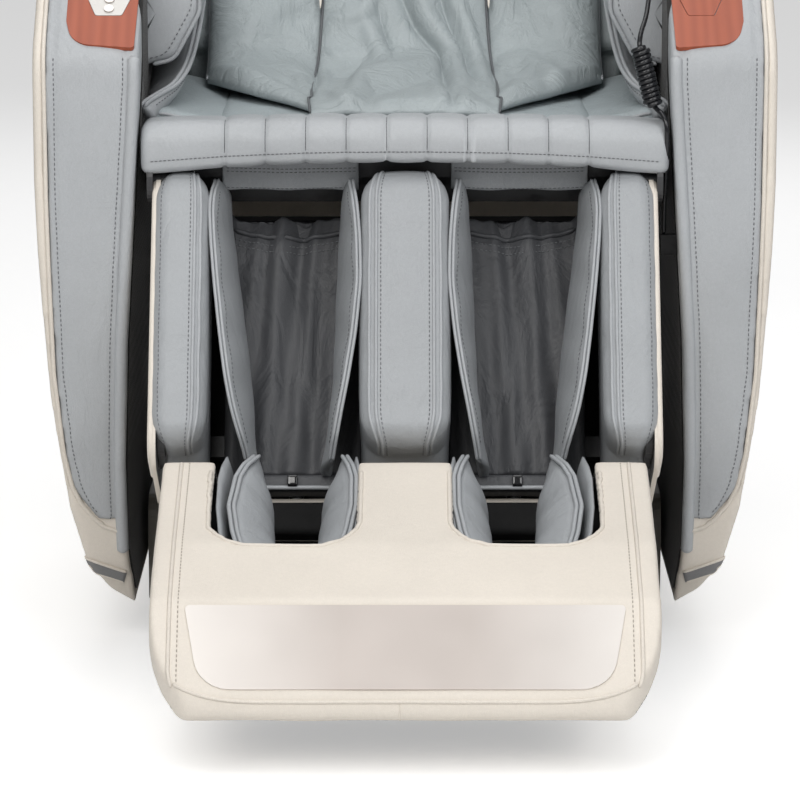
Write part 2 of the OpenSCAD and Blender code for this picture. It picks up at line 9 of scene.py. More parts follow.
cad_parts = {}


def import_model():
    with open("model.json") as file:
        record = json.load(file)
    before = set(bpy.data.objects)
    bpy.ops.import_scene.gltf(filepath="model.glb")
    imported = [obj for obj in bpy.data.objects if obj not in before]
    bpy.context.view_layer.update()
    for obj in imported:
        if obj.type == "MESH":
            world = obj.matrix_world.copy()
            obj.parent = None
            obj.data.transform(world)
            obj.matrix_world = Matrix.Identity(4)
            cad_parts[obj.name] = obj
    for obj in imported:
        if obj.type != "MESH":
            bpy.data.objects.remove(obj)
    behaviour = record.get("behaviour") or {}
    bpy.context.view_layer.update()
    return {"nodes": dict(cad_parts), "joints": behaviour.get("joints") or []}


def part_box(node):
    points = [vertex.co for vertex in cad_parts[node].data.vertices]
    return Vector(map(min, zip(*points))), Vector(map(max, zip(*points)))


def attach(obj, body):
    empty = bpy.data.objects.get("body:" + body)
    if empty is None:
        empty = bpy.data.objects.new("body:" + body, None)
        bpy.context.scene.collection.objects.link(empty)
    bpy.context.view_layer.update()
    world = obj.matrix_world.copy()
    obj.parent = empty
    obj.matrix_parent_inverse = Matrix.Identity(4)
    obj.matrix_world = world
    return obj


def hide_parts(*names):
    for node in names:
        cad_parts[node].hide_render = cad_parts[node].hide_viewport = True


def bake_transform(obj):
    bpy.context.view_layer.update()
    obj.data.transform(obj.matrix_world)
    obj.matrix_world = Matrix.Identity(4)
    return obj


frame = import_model()
joints = {j["name"]: j for j in frame["joints"]}
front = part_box("arm_cushions")[0].y - 0.0006   # plane of the arms' fronts


def turned(origin, degrees):
    c, s = math.cos(math.radians(degrees)), math.sin(math.radians(degrees))
    return np.array(origin, float), np.array([[1, 0, 0], [0, c, s], [0, -s, c]])


inChair = turned((0, front, 0), 0)                                   # millimetres from the arm fronts
inBack = turned(joints["backrest_recline"]["pos_m"], 25)             # upright backrest about its pivot
inLeg = turned(joints["leg_rest_lift"]["pos_m"], 30)                 # hanging leg rest about its pivot


def world(place, points):
    return np.asarray(points, float).reshape(-1, 3) / 1000 @ place[1].T + place[0]


def local(place, points):
    return (np.asarray(points, float) - place[0]) @ place[1] * 1000


# camera and lights
camera = bpy.data.objects.new("camera", bpy.data.cameras.new("camera"))
bpy.context.scene.collection.objects.link(camera)
camera.location = (-0.005, front - 4.0, 1.075)
camera.rotation_euler = (math.radians(90 - 11.296), 0, 0)
camera.data.sensor_width, camera.data.lens = 36, 180.72
camera.data.clip_start, camera.data.clip_end = 0.1, 200
bpy.context.scene.camera = camera
bpy.context.scene.view_settings.view_transform = "Standard"

lights = {
    "key": {"at": (-1.3, front - 3.0, 2.9), "aim": (0, 0, 0.5), "size": 2.2, "power": 76,
        "tint": (1.0, 0.99, 0.97)},
    "fill": {"at": (1.7, front - 2.9, 2.5), "aim": (0, 0, 0.5), "size": 2.2, "power": 56,
        "tint": (0.98, 0.99, 1.0)},
    "top": {"at": (0.0, front + 0.1, 3.4), "aim": (0, front + 0.3, 0.3), "size": 2.4, "power": 40,
        "tint": (1, 1, 1)},
    "rim": {"at": (0.4, 3.4, 2.4), "aim": (0, 0, 0.7), "size": 2.2, "power": 22, "tint": (1, 1, 1)},
}
for name, s in lights.items():
    lamp = bpy.data.objects.new(name, bpy.data.lights.new(name, "AREA"))
    bpy.context.scene.collection.objects.link(lamp)
    lamp.data.size, lamp.data.energy, lamp.data.color = s["size"], s["power"], s["tint"]
    lamp.location = s["at"]
    lamp.rotation_euler = (Vector(s["aim"]) - Vector(s["at"])).to_track_quat("-Z", "Y").to_euler()
sky = bpy.data.worlds.new("sky")
bpy.context.scene.world = sky
sky.use_nodes = True
sky.node_tree.nodes["Background"].inputs["Color"].default_value = (1, 1, 1, 1)
sky.node_tree.nodes["Background"].inputs["Strength"].default_value = 0.22
print("camera and lights")


# shader groups and materials
def newGroup(name, inputs, outputs):
    g = bpy.data.node_groups.new(name, "ShaderNodeTree")
    for label, value in inputs.items():
        g.interface.new_socket(name=label, in_out="INPUT", socket_type="NodeSocketFloat").default_value = value
    for label in outputs:
        g.interface.new_socket(name=label, in_out="OUTPUT", socket_type="NodeSocketFloat")
    return g, g.nodes.new("NodeGroupInput").outputs, g.nodes.new("NodeGroupOutput").inputs


def put(tree, kind, inputs=None, **settings):
    node = tree.nodes.new("ShaderNode" + kind)
    for k, v in settings.items():
        setattr(node, k, v)
    for k, v in (inputs or {}).items():
        if isinstance(v, bpy.types.NodeSocket):
            tree.links.new(v, node.inputs[k])
        else:
            node.inputs[k].default_value = v
    return node


def math2(tree, op, a, b=0.0, clamp=False):
    return put(tree, "Math", {0: a, 1: b}, operation=op, use_clamp=clamp).outputs[0]


def ramp(tree, value, lo, hi, a=0.0, b=1.0):
    return put(tree, "MapRange", {"Value": value, "From Min": lo, "From Max": hi, "To Min": a,
        "To Max": b}).outputs[0]


def stretched(tree, scale):
    where = put(tree, "TexCoord").outputs["Object"]
    return put(tree, "Mapping", {"Vector": where, "Scale": scale}).outputs[0]


def leatherGroup():
    g, i, o = newGroup("leatherGrain", {"Pebble": 620.0, "Crease": 22.0},
        ["Grain", "Wrinkle", "Mottle", "Sheen"])
    p = stretched(g, (1, 1, 1))
    warp = put(g, "TexNoise", {"Vector": p, "Scale": 160.0, "Detail": 2.0})
    bent = put(g, "MixRGB", {"Fac": 0.004, "Color1": p, "Color2": warp.outputs["Color"]},
        blend_type="ADD").outputs[0]
    cells = put(g, "TexVoronoi", {"Vector": bent, "Scale": i["Pebble"]},
        feature="DISTANCE_TO_EDGE").outputs["Distance"]
    pores = put(g, "TexNoise", {"Vector": p, "Scale": 1500.0, "Detail": 3.0}).outputs["Fac"]
    pebbles = ramp(g, cells, 0.0, 0.28)
    grain = math2(g, "ADD", math2(g, "MULTIPLY", pebbles, 0.75), math2(g, "MULTIPLY", pores, 0.3))
    g.links.new(grain, o["Grain"])
    long = put(g, "TexNoise", {"Vector": stretched(g, (1, 1, 0.45)), "Scale": i["Crease"], "Detail": 5.0,
        "Roughness": 0.55, "Distortion": 0.7}).outputs["Fac"]
    ridge = math2(g, "ABSOLUTE", math2(g, "SUBTRACT", long, 0.5))
    crease = ramp(g, ridge, 0.0, 0.09)
    swell = put(g, "TexNoise", {"Vector": p, "Scale": 9.0, "Detail": 2.0}).outputs["Fac"]
    g.links.new(math2(g, "ADD", math2(g, "MULTIPLY", crease, 0.35), swell), o["Wrinkle"])
    blotch = put(g, "TexNoise", {"Vector": p, "Scale": 6.0, "Detail": 6.0, "Roughness": 0.65}).outputs["Fac"]
    fine = put(g, "TexNoise", {"Vector": p, "Scale": 320.0, "Detail": 2.0}).outputs["Fac"]
    tone = math2(g, "ADD", math2(g, "MULTIPLY", blotch, 0.7), math2(g, "MULTIPLY", fine, 0.3))
    g.links.new(ramp(g, math2(g, "ADD", tone, math2(g, "MULTIPLY", pebbles, 0.14)), 0.35, 0.8), o["Mottle"])
    g.links.new(math2(g, "ADD", math2(g, "MULTIPLY", blotch, 0.6), math2(g, "MULTIPLY", pebbles, 0.4)),
        o["Sheen"])
    return g


def weaveGroup():
    g, i, o = newGroup("clothWeave", {"Threads": 900.0}, ["Thread", "Fold", "Mottle"])
    p = stretched(g, (1, 1, 1))
    waves = [put(g, "TexWave", {"Vector": p, "Scale": i["Threads"], "Distortion": 0.4},
        bands_direction=d).outputs["Fac"] for d in "XZY"]
    g.links.new(math2(g, "ADD", math2(g, "MULTIPLY", waves[0], waves[1]), math2(g, "MULTIPLY", waves[2], 0.4)),
        o["Thread"])
    fold = put(g, "TexNoise", {"Vector": stretched(g, (2.2, 1, 0.6)), "Scale": 16.0, "Detail": 5.0,
        "Distortion": 1.2}).outputs["Fac"]
    g.links.new(fold, o["Fold"])
    spots = put(g, "TexNoise", {"Vector": p, "Scale": 40.0, "Detail": 6.0}).outputs["Fac"]
    g.links.new(math2(g, "ADD", math2(g, "MULTIPLY", spots, 0.6), math2(g, "MULTIPLY", waves[0], 0.4)),
        o["Mottle"])
    return g


def grainGroup():
    g, i, o = newGroup("woodFigure", {"Rings": 26.0}, ["Figure", "Pore", "Streak"])
    p = stretched(g, (7, 1, 1))
    bend = put(g, "TexNoise", {"Vector": p, "Scale": 6.0, "Detail": 4.0, "Distortion": 0.5}).outputs["Fac"]
    lines = put(g, "TexWave", {"Vector": stretched(g, (1, 0.12, 0.12)), "Scale": i["Rings"], "Distortion": 3.0,
        "Detail": 3.0, "Detail Scale": 1.4},
                bands_direction="X").outputs["Fac"]
    g.links.new(math2(g, "ADD", math2(g, "MULTIPLY", lines, 0.3), math2(g, "MULTIPLY", bend, 0.7)), o["Figure"])
    pores = put(g, "TexNoise", {"Vector": stretched(g, (900, 60, 60)), "Scale": 1.0,
        "Detail": 2.0}).outputs["Fac"]
    g.links.new(ramp(g, pores, 0.42, 0.62), o["Pore"])
    g.links.new(put(g, "TexNoise", {"Vector": stretched(g, (90, 8, 8)), "Scale": 1.0,
        "Detail": 5.0}).outputs["Fac"], o["Streak"])
    return g


def speckleGroup():
    g, i, o = newGroup("mouldedSpeckle", {"Grit": 1200.0}, ["Grit", "Haze", "Smudge"])
    p = stretched(g, (1, 1, 1))
    g.links.new(put(g, "TexNoise", {"Vector": p, "Scale": i["Grit"], "Detail": 2.0}).outputs["Fac"], o["Grit"])
    g.links.new(put(g, "TexNoise", {"Vector": p, "Scale": 14.0, "Detail": 4.0}).outputs["Fac"], o["Haze"])
    smudge = put(g, "TexNoise", {"Vector": p, "Scale": 38.0, "Detail": 5.0, "Roughness": 0.7}).outputs["Fac"]
    g.links.new(ramp(g, smudge, 0.45, 0.7), o["Smudge"])
    return g


def brushGroup():
    g, i, o = newGroup("brushedLines", {"Lines": 500.0}, ["Line", "Haze", "EndsPaintedReflection"])
    across = put(g, "SeparateXYZ", {"Vector": stretched(g, (1, 1, 1))}).outputs["X"]
    # EndsPaintedReflection: 0 in the middle, rising to 1 towards |x| = 0.225; the silver trim uses it as a
    # painted reflection of the lamps on its ends
    g.links.new(ramp(g, math2(g, "ABSOLUTE", across), 0.06, 0.225), o["EndsPaintedReflection"])
    p = stretched(g, (0.03, 1, 1))
    g.links.new(put(g, "TexNoise", {"Vector": p, "Scale": i["Lines"], "Detail": 3.0}).outputs["Fac"], o["Line"])
    g.links.new(put(g, "TexNoise", {"Vector": stretched(g, (1, 1, 1)), "Scale": 20.0,
        "Detail": 3.0}).outputs["Fac"], o["Haze"])
    return g


groups = {"leather": leatherGroup(), "weave": weaveGroup(), "wood": grainGroup(), "speckle": speckleGroup(),
    "brush": brushGroup()}


def newMaterial(name, effect, settings):
    m = bpy.data.materials.new(name)
    m.use_nodes = True
    tree = m.node_tree
    tree.nodes.clear()
    shader = put(tree, "BsdfPrincipled")
    tree.links.new(shader.outputs[0], put(tree, "OutputMaterial").inputs["Surface"])
    use = tree.nodes.new("ShaderNodeGroup")
    use.node_tree = groups[effect]
    for k, v in settings.get("effect", {}).items():
        use.inputs[k].default_value = v
    colours = put(tree, "Mix", data_type="RGBA")
    colours.inputs[6].default_value = (*settings["dark"], 1)
    colours.inputs[7].default_value = (*settings["light"], 1)
    tree.links.new(use.outputs[settings["tone"]], colours.inputs[0])
    tree.links.new(colours.outputs[2], shader.inputs["Base Color"])
    lo, hi = settings["rough"]
    tree.links.new(ramp(tree, use.outputs[settings["gloss"]], 0.3, 0.7, lo, hi), shader.inputs["Roughness"])
    shader.inputs["Metallic"].default_value = settings.get("metal", 0.0)
    shader.inputs["Coat Weight"].default_value = settings.get("coat", 0.0)
    shader.inputs["Coat Roughness"].default_value = settings.get("coatRough", 0.1)
    shader.inputs["Specular IOR Level"].default_value = settings.get("specular", 0.5)
    if settings.get("sheen"):
        shader.inputs["Sheen Weight"].default_value = settings["sheen"]
    normal = None
    for label, distance, strength in settings.get("bumps", []):
        bump = put(tree, "Bump", {"Height": use.outputs[label], "Distance": distance, "Strength": strength})
        if normal:
            tree.links.new(normal, bump.inputs["Normal"])
        normal = bump.outputs["Normal"]
    if normal:
        tree.links.new(normal, shader.inputs["Normal"])
    return m


def shade(rgb, k=1.0):
    return tuple((c / 255 / 12.92 if c <= 10 else ((c / 255 + 0.055) / 1.055) ** 2.4) * k for c in rgb)


def leatherOf(name, rgb, spread=0.14, rough=(0.36, 0.5), wrinkle=0.5, pebble=620.0, crease=22.0, grain=0.55,
        specular=0.45):
    return newMaterial(name, "leather", {
        "dark": shade(rgb, 1 - spread), "light": shade(rgb, 1 + spread * 0.5), "tone": "Mottle",
            "gloss": "Sheen", "rough": rough,
        "effect": {"Pebble": pebble, "Crease": crease}, "specular": specular,
        "bumps": [("Wrinkle", 0.0022, wrinkle), ("Grain", 0.00022, grain)]})


def clothOf(name, rgb, rough=(0.7, 0.9), fold=0.5, threads=900.0, spread=0.3):
    return newMaterial(name, "weave", {
        "dark": shade(rgb, 1 - spread), "light": shade(rgb, 1 + spread), "tone": "Mottle", "gloss": "Mottle",
            "rough": rough,
        "effect": {"Threads": threads}, "sheen": 0.15, "bumps": [("Fold", 0.004, fold),
            ("Thread", 0.0002, 0.5)]})


def plasticOf(name, rgb, rough=(0.3, 0.42), grit=0.3, coat=0.0, metal=0.0, spread=0.1):
    return newMaterial(name, "speckle", {
        "dark": shade(rgb, 1 - spread), "light": shade(rgb, 1 + spread * 0.6), "tone": "Haze",
            "gloss": "Smudge", "rough": rough,
        "coat": coat, "metal": metal, "bumps": [("Grit", 0.0001, grit)]})


looks = {
    "grey": leatherOf("greyLeather", (172, 175, 178), wrinkle=0.45, spread=0.1),
    "greyFoot": leatherOf("greyPadLeather", (160, 163, 166), wrinkle=0.6, crease=18.0, spread=0.1),
    "seat": leatherOf("seatLeather", (160, 169, 172), wrinkle=0.8, crease=20.0),
    "back": leatherOf("backLeather", (158, 166, 168), wrinkle=1.0, crease=26.0),
    "welt": leatherOf("weltLeather", (168, 171, 174), wrinkle=0.2, crease=60.0, rough=(0.3, 0.42)),
    "seamLine": leatherOf("seamLine", (92, 94, 97), wrinkle=0.1),
    "cream": leatherOf("creamLeather", (222, 214, 203), wrinkle=0.16, rough=(0.4, 0.52), spread=0.08),
    "creamWelt": leatherOf("creamWelt", (222, 214, 203), wrinkle=0.15, crease=60.0),
    "stripe": leatherOf("stripeLeather", (128, 128, 129), wrinkle=0.3),
    # channel lining: the chair's grey leather, its colour set far darker (74) as painted shade in the deep leg
    # channels
    "lining": leatherOf("channelLeatherPaintedShade", (74, 75, 78), wrinkle=1.0, crease=14.0, rough=(0.42, 0.55)),
    "valance": leatherOf("valanceLeather", (150, 153, 156), wrinkle=0.6),
    "panel": clothOf("armPanelCloth", (44, 43, 42), fold=0.25, threads=700.0),
    # near-black cloth laid on the inside faces of the calf shell and the foot wells: painted shade in those
    # recesses
    "mesh": clothOf("paintedShadeCloth", (20, 20, 21), fold=0.4),
    "thread": clothOf("seamThread", (112, 114, 117), fold=0.0, threads=2500.0, spread=0.1),
    "threadCream": clothOf("creamThread", (172, 164, 153), fold=0.0, threads=2500.0, spread=0.1),
    "cord": plasticOf("cordVinyl", (26, 27, 30), rough=(0.2, 0.34), grit=0.15),
    "wood": newMaterial("cherryWood", "wood", {
        "dark": (0.25, 0.05, 0.02), "light": (0.41, 0.098, 0.044), "tone": "Figure", "gloss": "Streak",
            "rough": (0.3, 0.42),
        "coat": 0.25, "coatRough": 0.12, "specular": 0.25, "bumps": [("Pore", 0.0001, 0.12)]}),
    # silver trim: colour runs from dark in the middle to light at both ends, a painted reflection of the lamps
    # on its curved ends
    "silver": newMaterial("silverPaint", "brush", {
        "dark": shade((198, 189, 183)), "light": shade((232, 227, 222)), "tone": "EndsPaintedReflection", "gloss": "Haze",
            "rough": (0.3, 0.36), "metal": 0.3, "coat": 0.2,
        "bumps": [("Line", 0.00001, 0.06)]}),
    "keyMetal": newMaterial("keyMetal", "brush", {
        "dark": shade((196, 190, 185)), "light": shade((214, 209, 205)), "tone": "Haze", "gloss": "Line",
            "rough": (0.24, 0.34), "metal": 0.7,
        "bumps": [("Line", 0.00003, 0.2)]}),
    "chrome": newMaterial("groundSteel", "brush", {
        "dark": (0.5, 0.51, 0.52), "light": (0.75, 0.76, 0.77), "tone": "Haze", "gloss": "Line",
            "rough": (0.18, 0.34), "metal": 1.0,
        "bumps": [("Line", 0.0001, 0.3)]}),
    "steel": plasticOf("framePowderCoat", (52, 52, 54), rough=(0.42, 0.6), grit=0.6),
    "greyPlastic": plasticOf("greyPlastic", (138, 134, 126), rough=(0.42, 0.55), grit=0.7),
    "darkPlastic": plasticOf("darkPlastic", (58, 56, 56), rough=(0.4, 0.55), grit=0.7),
    "black": plasticOf("blackGloss", (20, 20, 22), rough=(0.08, 0.2), grit=0.05, coat=0.6),
    "nylon": plasticOf("rollerNylon", (60, 56, 56), rough=(0.35, 0.5), grit=0.3),
    "rubber": plasticOf("blackRubber", (28, 28, 30), rough=(0.62, 0.8), grit=0.8),
    "red": plasticOf("switchRed", (170, 26, 22), rough=(0.2, 0.3), grit=0.1, coat=0.5),
    "whitePlastic": plasticOf("consoleWhite", (206, 203, 198), rough=(0.22, 0.34), grit=0.15, coat=0.4),
    "floor": plasticOf("paleFloor", (246, 246, 246), rough=(0.5, 0.6), grit=0.0, spread=0.01),
}
tree = looks["floor"].node_tree
shader = next(n for n in tree.nodes if n.type == "BSDF_PRINCIPLED")
shader.inputs["Emission Color"].default_value = (1, 1, 1, 1)
tree.links.new(math2(tree, "MULTIPLY", put(tree, "LightPath").outputs["Is Camera Ray"], 0.42),
    shader.inputs["Emission Strength"])
print("materials", len(looks))


# shapes: outlines and points are in millimetres in one of the places above
def rounded(points, n=7):
    out = []
    for i, q in enumerate(points):
        p, s = points[i - 1], points[(i + 1) % len(points)]
        b = np.array(q[:2], float)
        if len(q) < 3 or q[2] == 0:
            out.append(b)
            continue
        u, v = np.array(p[:2]) - b, np.array(s[:2]) - b
        u, v = u / np.linalg.norm(u), v / np.linalg.norm(v)
        half = math.acos(max(-1, min(1, u @ v))) / 2
        centre = b + (u + v) / np.linalg.norm(u + v) * (q[2] / math.sin(half))
        p0, p1 = b + u * q[2] / math.tan(half) - centre, b + v * q[2] / math.tan(half) - centre
        a0 = math.atan2(p0[1], p0[0])
        sweep = (math.atan2(p1[1], p1[0]) - a0 + math.pi) % (2 * math.pi) - math.pi
        out += [centre + q[2] * np.array([math.cos(a0 + sweep * k / n),
            math.sin(a0 + sweep * k / n)]) for k in range(n + 1)]
    return np.array(out)


def evenly(points, step, closed=False):
    p = np.asarray(points, float)
    if closed:
        p = np.vstack([p, p[:1]])
    along = np.concatenate([[0], np.cumsum(np.linalg.norm(np.diff(p, axis=0), axis=1))])
    n = max(2, int(round(along[-1] / step)))
    t = np.linspace(0, along[-1], n + 1)
    out = np.stack([np.interp(t, along, p[:, k]) for k in range(p.shape[1])], 1)
    return out[:-1] if closed else out


def spline(points, step=2.0):
    p = np.asarray(points, float)
    p = np.vstack([2 * p[0] - p[1], p, 2 * p[-1] - p[-2]])
    out = []
    for a, b, c, d in zip(p, p[1:], p[2:], p[3:]):
        for t in np.linspace(0, 1, max(3, int(np.linalg.norm(c - b) / step)), endpoint=False):
            curve = (2 * a - 5 * b + 4 * c - d) * t * t + (3 * b - a - 3 * c + d) * t ** 3
            out.append(0.5 * (2 * b + (c - a) * t + curve))
    out.append(p[-2])
    return np.array(out)


def newMesh(name, verts, faces, look, body, smooth=True):
    mesh = bpy.data.meshes.new(name)
    mesh.from_pydata([tuple(v) for v in verts], [], [tuple(f) for f in faces])
    mesh.validate()
    o = bpy.data.objects.new(name, mesh)
    bpy.context.scene.collection.objects.link(o)
    mesh.materials.append(looks[look])
    if smooth:
        mesh.polygons.foreach_set("use_smooth", [True] * len(mesh.polygons))
    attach(o, body)
    return o


def facingOut(o):      # turns every face's normal outwards
    bm = bmesh.new()
    bm.from_mesh(o.data)
    bmesh.ops.recalc_face_normals(bm, faces=bm.faces)
    bm.to_mesh(o.data)
    bm.free()
    return o


def welded(mesh):      # joins vertices that lie on one spot
    bm = bmesh.new()
    bm.from_mesh(mesh)
    bmesh.ops.remove_doubles(bm, verts=bm.verts, dist=1e-5)
    return bm


def bulge(x, centre, half):
    t = np.clip((x - centre) / half, -1, 1)
    return 1 - t * t


def lumps(points, size, seed=0.0):
    s = Vector((seed, seed * 1.7, -seed))
    return np.array([noise.noise(Vector(p) / size + s) for p in points])


# a padded piece: an outline in y and z carried from x0 to x1, rounded at its ends
# and pushed in and out by shape(x, y, z, s)
def extruded(name, place, outline, x0, x1, look, body, slot, step=5.0, xs=None, end=8.0, shape=None, warp=None,
        slump=0.0):
    loop = evenly(outline, step, closed=True)
    area = 0.5 * np.sum(loop[:, 0] * np.roll(loop[:, 1], -1) - np.roll(loop[:, 0], -1) * loop[:, 1])
    if area < 0:
        loop = loop[::-1]
    tangent = np.roll(loop, -1, 0) - np.roll(loop, 1, 0)
    normal = np.stack([tangent[:, 1], -tangent[:, 0]], 1)
    normal /= np.linalg.norm(normal, axis=1)[:, None] + 1e-9
    s = np.arange(len(loop)) * step
    if xs is None:
        xs = np.linspace(x0 + end, x1 - end, max(3, int((x1 - x0 - 2 * end) / step)))
    xs = xs[(xs >= x0 + end) & (xs <= x1 - end)]
    a = np.linspace(0, math.pi / 2, 6)
    insets = [(x0 + end - end * math.cos(t), end * (1 - math.sin(t))) for t in a[:-1]]
    rows = insets + [(x, 0.0) for x in xs] + [(x1 - (x - x0), d) for x, d in insets[::-1]]
    middle = loop.mean(0)
    verts = []
    for x, d in rows:
        ring = loop - normal * d
        push = shape(np.full(len(loop), x), ring[:, 0], ring[:, 1],
            s) if shape is not None else np.zeros(len(loop))
        ring = ring + normal * push[:, None] * (1 - d / max(end, 1e-6))
        verts.append(np.column_stack([np.full(len(loop), x), ring]))
    n, m = len(loop), len(verts)
    grid = np.vstack(verts)
    inner = []
    for row, sign in ((0, -1), (m - 1, 1)):     # flat ends, in rings towards the middle
        for k in (0.8, 0.5, 0.2):
            ring = verts[row].copy()
            ring[:, 1:] = middle + (ring[:, 1:] - middle) * k
            inner.append(ring)
    points = np.vstack([grid] + inner + [np.array([[verts[0][0][0], *middle], [verts[-1][0][0], *middle]])])
    if slump:
        points[:, 2] += slump * lumps(points, 55.0, 3.1)
        points[:, 1] += slump * 0.7 * lumps(points, 38.0, 8.3)
    if warp is not None:
        points = warp(points)
    faces = [(r * n + k, r * n + (k + 1) % n, (r + 1) * n + (k + 1) % n,
        (r + 1) * n + k) for r in range(m - 1) for k in range(n)]
    base = m * n
    for side, row in ((0, 0), (1, m - 1)):
        rings = [row * n] + [base + (side * 3 + k) * n for k in range(3)]
        tip = base + 6 * n + side
        for r0, r1 in zip(rings, rings[1:]):
            for k in range(n):
                f = (r0 + k, r0 + (k + 1) % n, r1 + (k + 1) % n, r1 + k)
                faces.append(f if side else f[::-1])
        for k in range(n):
            f = (rings[-1] + k, rings[-1] + (k + 1) % n, tip)
            faces.append(f if side else f[::-1])
    faces = [f[::-1] for f in faces]
    o = newMesh(name, world(place, points), faces, look, body)
    return facingOut(o)


# a closed padded sheet: a grid of middle points, each with its half thickness
def pillowSheet(name, place, middle, half, look, body):
    m, c = middle.shape[:2]
    n = np.cross(np.gradient(middle, axis=0), np.gradient(middle, axis=1))
    n /= np.linalg.norm(n, axis=2)[..., None] + 1e-9
    verts = np.vstack([(middle + n * half[..., None] * sign).reshape(-1, 3) for sign in (1, -1)])
    faces = [(r * c + j, r * c + j + 1, (r + 1) * c + j + 1,
        (r + 1) * c + j) for r in range(m - 1) for j in range(c - 1)]
    faces += [tuple(m * c + v for v in f[::-1]) for f in faces]
    rim = [j for j in range(c)] + [r * c + c - 1 for r in range(1, m)] + [(m - 1) * c + j for j in range(c - 2,
        -1, -1)] + [r * c for r in range(m - 2, 0, -1)]
    faces += [(a, m * c + a, m * c + b, b) for a, b in zip(rim, rim[1:] + rim[:1])]
    o = newMesh(name, world(place, verts), faces, look, body)
    return facingOut(o)


# a round tube along points: piping, welts, cords
def tube(name, place, points, radius, look, body, closed=False, sides=8, smoothStep=3.0, flat=1.0):
    p = world(place, evenly(points, smoothStep, closed) if smoothStep else points)
    n = len(p)
    t = (np.roll(p, -1, 0) - np.roll(p, 1, 0)) if closed else np.gradient(p, axis=0)
    t /= np.linalg.norm(t, axis=1)[:, None] + 1e-12
    up = np.array([0, 0, 1.0]) if abs(t[0][2]) < 0.9 else np.array([0, 1.0, 0])
    verts = []
    for k in range(n):
        up = up - t[k] * (up @ t[k])
        up /= np.linalg.norm(up)
        side = np.cross(t[k], up)
        r = radius / 1000
        if not closed:
            r *= 1.0 if 0 < k < n - 1 else 0.55
        for j in range(sides):
            a = 2 * math.pi * j / sides
            verts.append(p[k] + r * (math.cos(a) * up * flat + math.sin(a) * side))
    faces = [(k * sides + j, k * sides + (j + 1) % sides, ((k + 1) % n) * sides + (j + 1) % sides,
        ((k + 1) % n) * sides + j)
             for k in range(n if closed else n - 1) for j in range(sides)]
    if not closed:
        faces += [tuple(range(sides))[::-1], tuple((n - 1) * sides + j for j in range(sides))]
    return newMesh(name, verts, faces, look, body)


# short threads lying along a seam
def stitches(name, place, points, look, body, pitch=5.0, length=3.2, radius=0.55, lift=0.2):
    p = world(place, evenly(points, pitch))
    verts, faces = [], []
    for a, b in zip(p, p[1:]):
        d = b - a
        size = np.linalg.norm(d)
        if size < 1e-6:
            continue
        d /= size
        up = np.array([0, -1.0, 0.3]) if abs(d[1]) < 0.8 else np.array([0, 0, 1.0])
        side = np.cross(d, up)
        side /= np.linalg.norm(side)
        up = np.cross(side, d)
        base = len(verts)
        for along, r in ((0.0, 0.3), (0.25, 1.0), (0.75, 1.0), (1.0, 0.3)):
            at = a + d * (along * length / 1000)
            for j in range(5):
                ang = 2 * math.pi * j / 5
                verts.append(at + r * radius / 1000 * (math.cos(ang) * side + math.sin(ang) * up))
        for r in range(3):
            for j in range(5):
                faces.append((base + r * 5 + j, base + r * 5 + (j + 1) % 5, base + r * 5 + 5 + (j + 1) % 5,
                    base + r * 5 + 5 + j))
    return newMesh(name, verts, faces, look, body)


# points dropped onto a piece's surface, lifted off it a little
def onto(o, place, points, lift=0.0, towards=None, axis=None):
    tree = BVHTree.FromObject(o, bpy.context.evaluated_depsgraph_get())
    out = []
    for spot, p in zip(np.asarray(points, float).reshape(-1, 3), world(place, points)):
        q, n = None, None
        if axis is not None:
            towards = (0, axis[0] - spot[1], axis[1] - spot[2])
        if towards is not None:
            d = Vector(world(place, [towards])[0] - world(place, [(0, 0, 0)])[0]).normalized()
            q, n, _, _ = tree.ray_cast(Vector(p) - d * 0.2, d)
        if q is None:
            q, n, _, _ = tree.find_nearest(Vector(p))
        out.append(np.array(q + n * lift / 1000))
    return local(place, np.array(out))


# a soft piece made over a CAD node: the same solid with its edges eased, then pushed by shape(points, normals)
def eased(name, node, look, body, voxel=4.0, passes=6, side=0, shape=None):
    source = frame["nodes"][node]
    mesh = source.data.copy()
    o = bpy.data.objects.new(name, mesh)
    bpy.context.scene.collection.objects.link(o)
    bm = welded(mesh)
    if side:
        out = [v for v in bm.verts if v.co.x * side < 0]
        bmesh.ops.delete(bm, geom=out, context="VERTS")
    bm.to_mesh(mesh)
    bm.free()
    mesh.materials.clear()
    mesh.materials.append(looks[look])
    mod = o.modifiers.new("voxels", "REMESH")
    mod.mode, mod.voxel_size, mod.use_smooth_shade = "VOXEL", voxel / 1000, True
    ease = o.modifiers.new("ease", "SMOOTH")
    ease.factor, ease.iterations = 0.5, passes
    final = bpy.data.meshes.new_from_object(o.evaluated_get(bpy.context.evaluated_depsgraph_get()))
    o.modifiers.clear()
    o.data = final
    if shape is not None:
        n = len(final.vertices)
        co, no = np.empty(n * 3), np.empty(n * 3)
        final.vertices.foreach_get("co", co)
        final.vertices.foreach_get("normal", no)
        final.vertices.foreach_set("co", shape(co.reshape(-1, 3), no.reshape(-1, 3)).ravel())
        final.update()
    if not final.materials:
        final.materials.append(looks[look])
    final.polygons.foreach_set("use_smooth", [True] * len(final.polygons))
    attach(o, body)
    return o


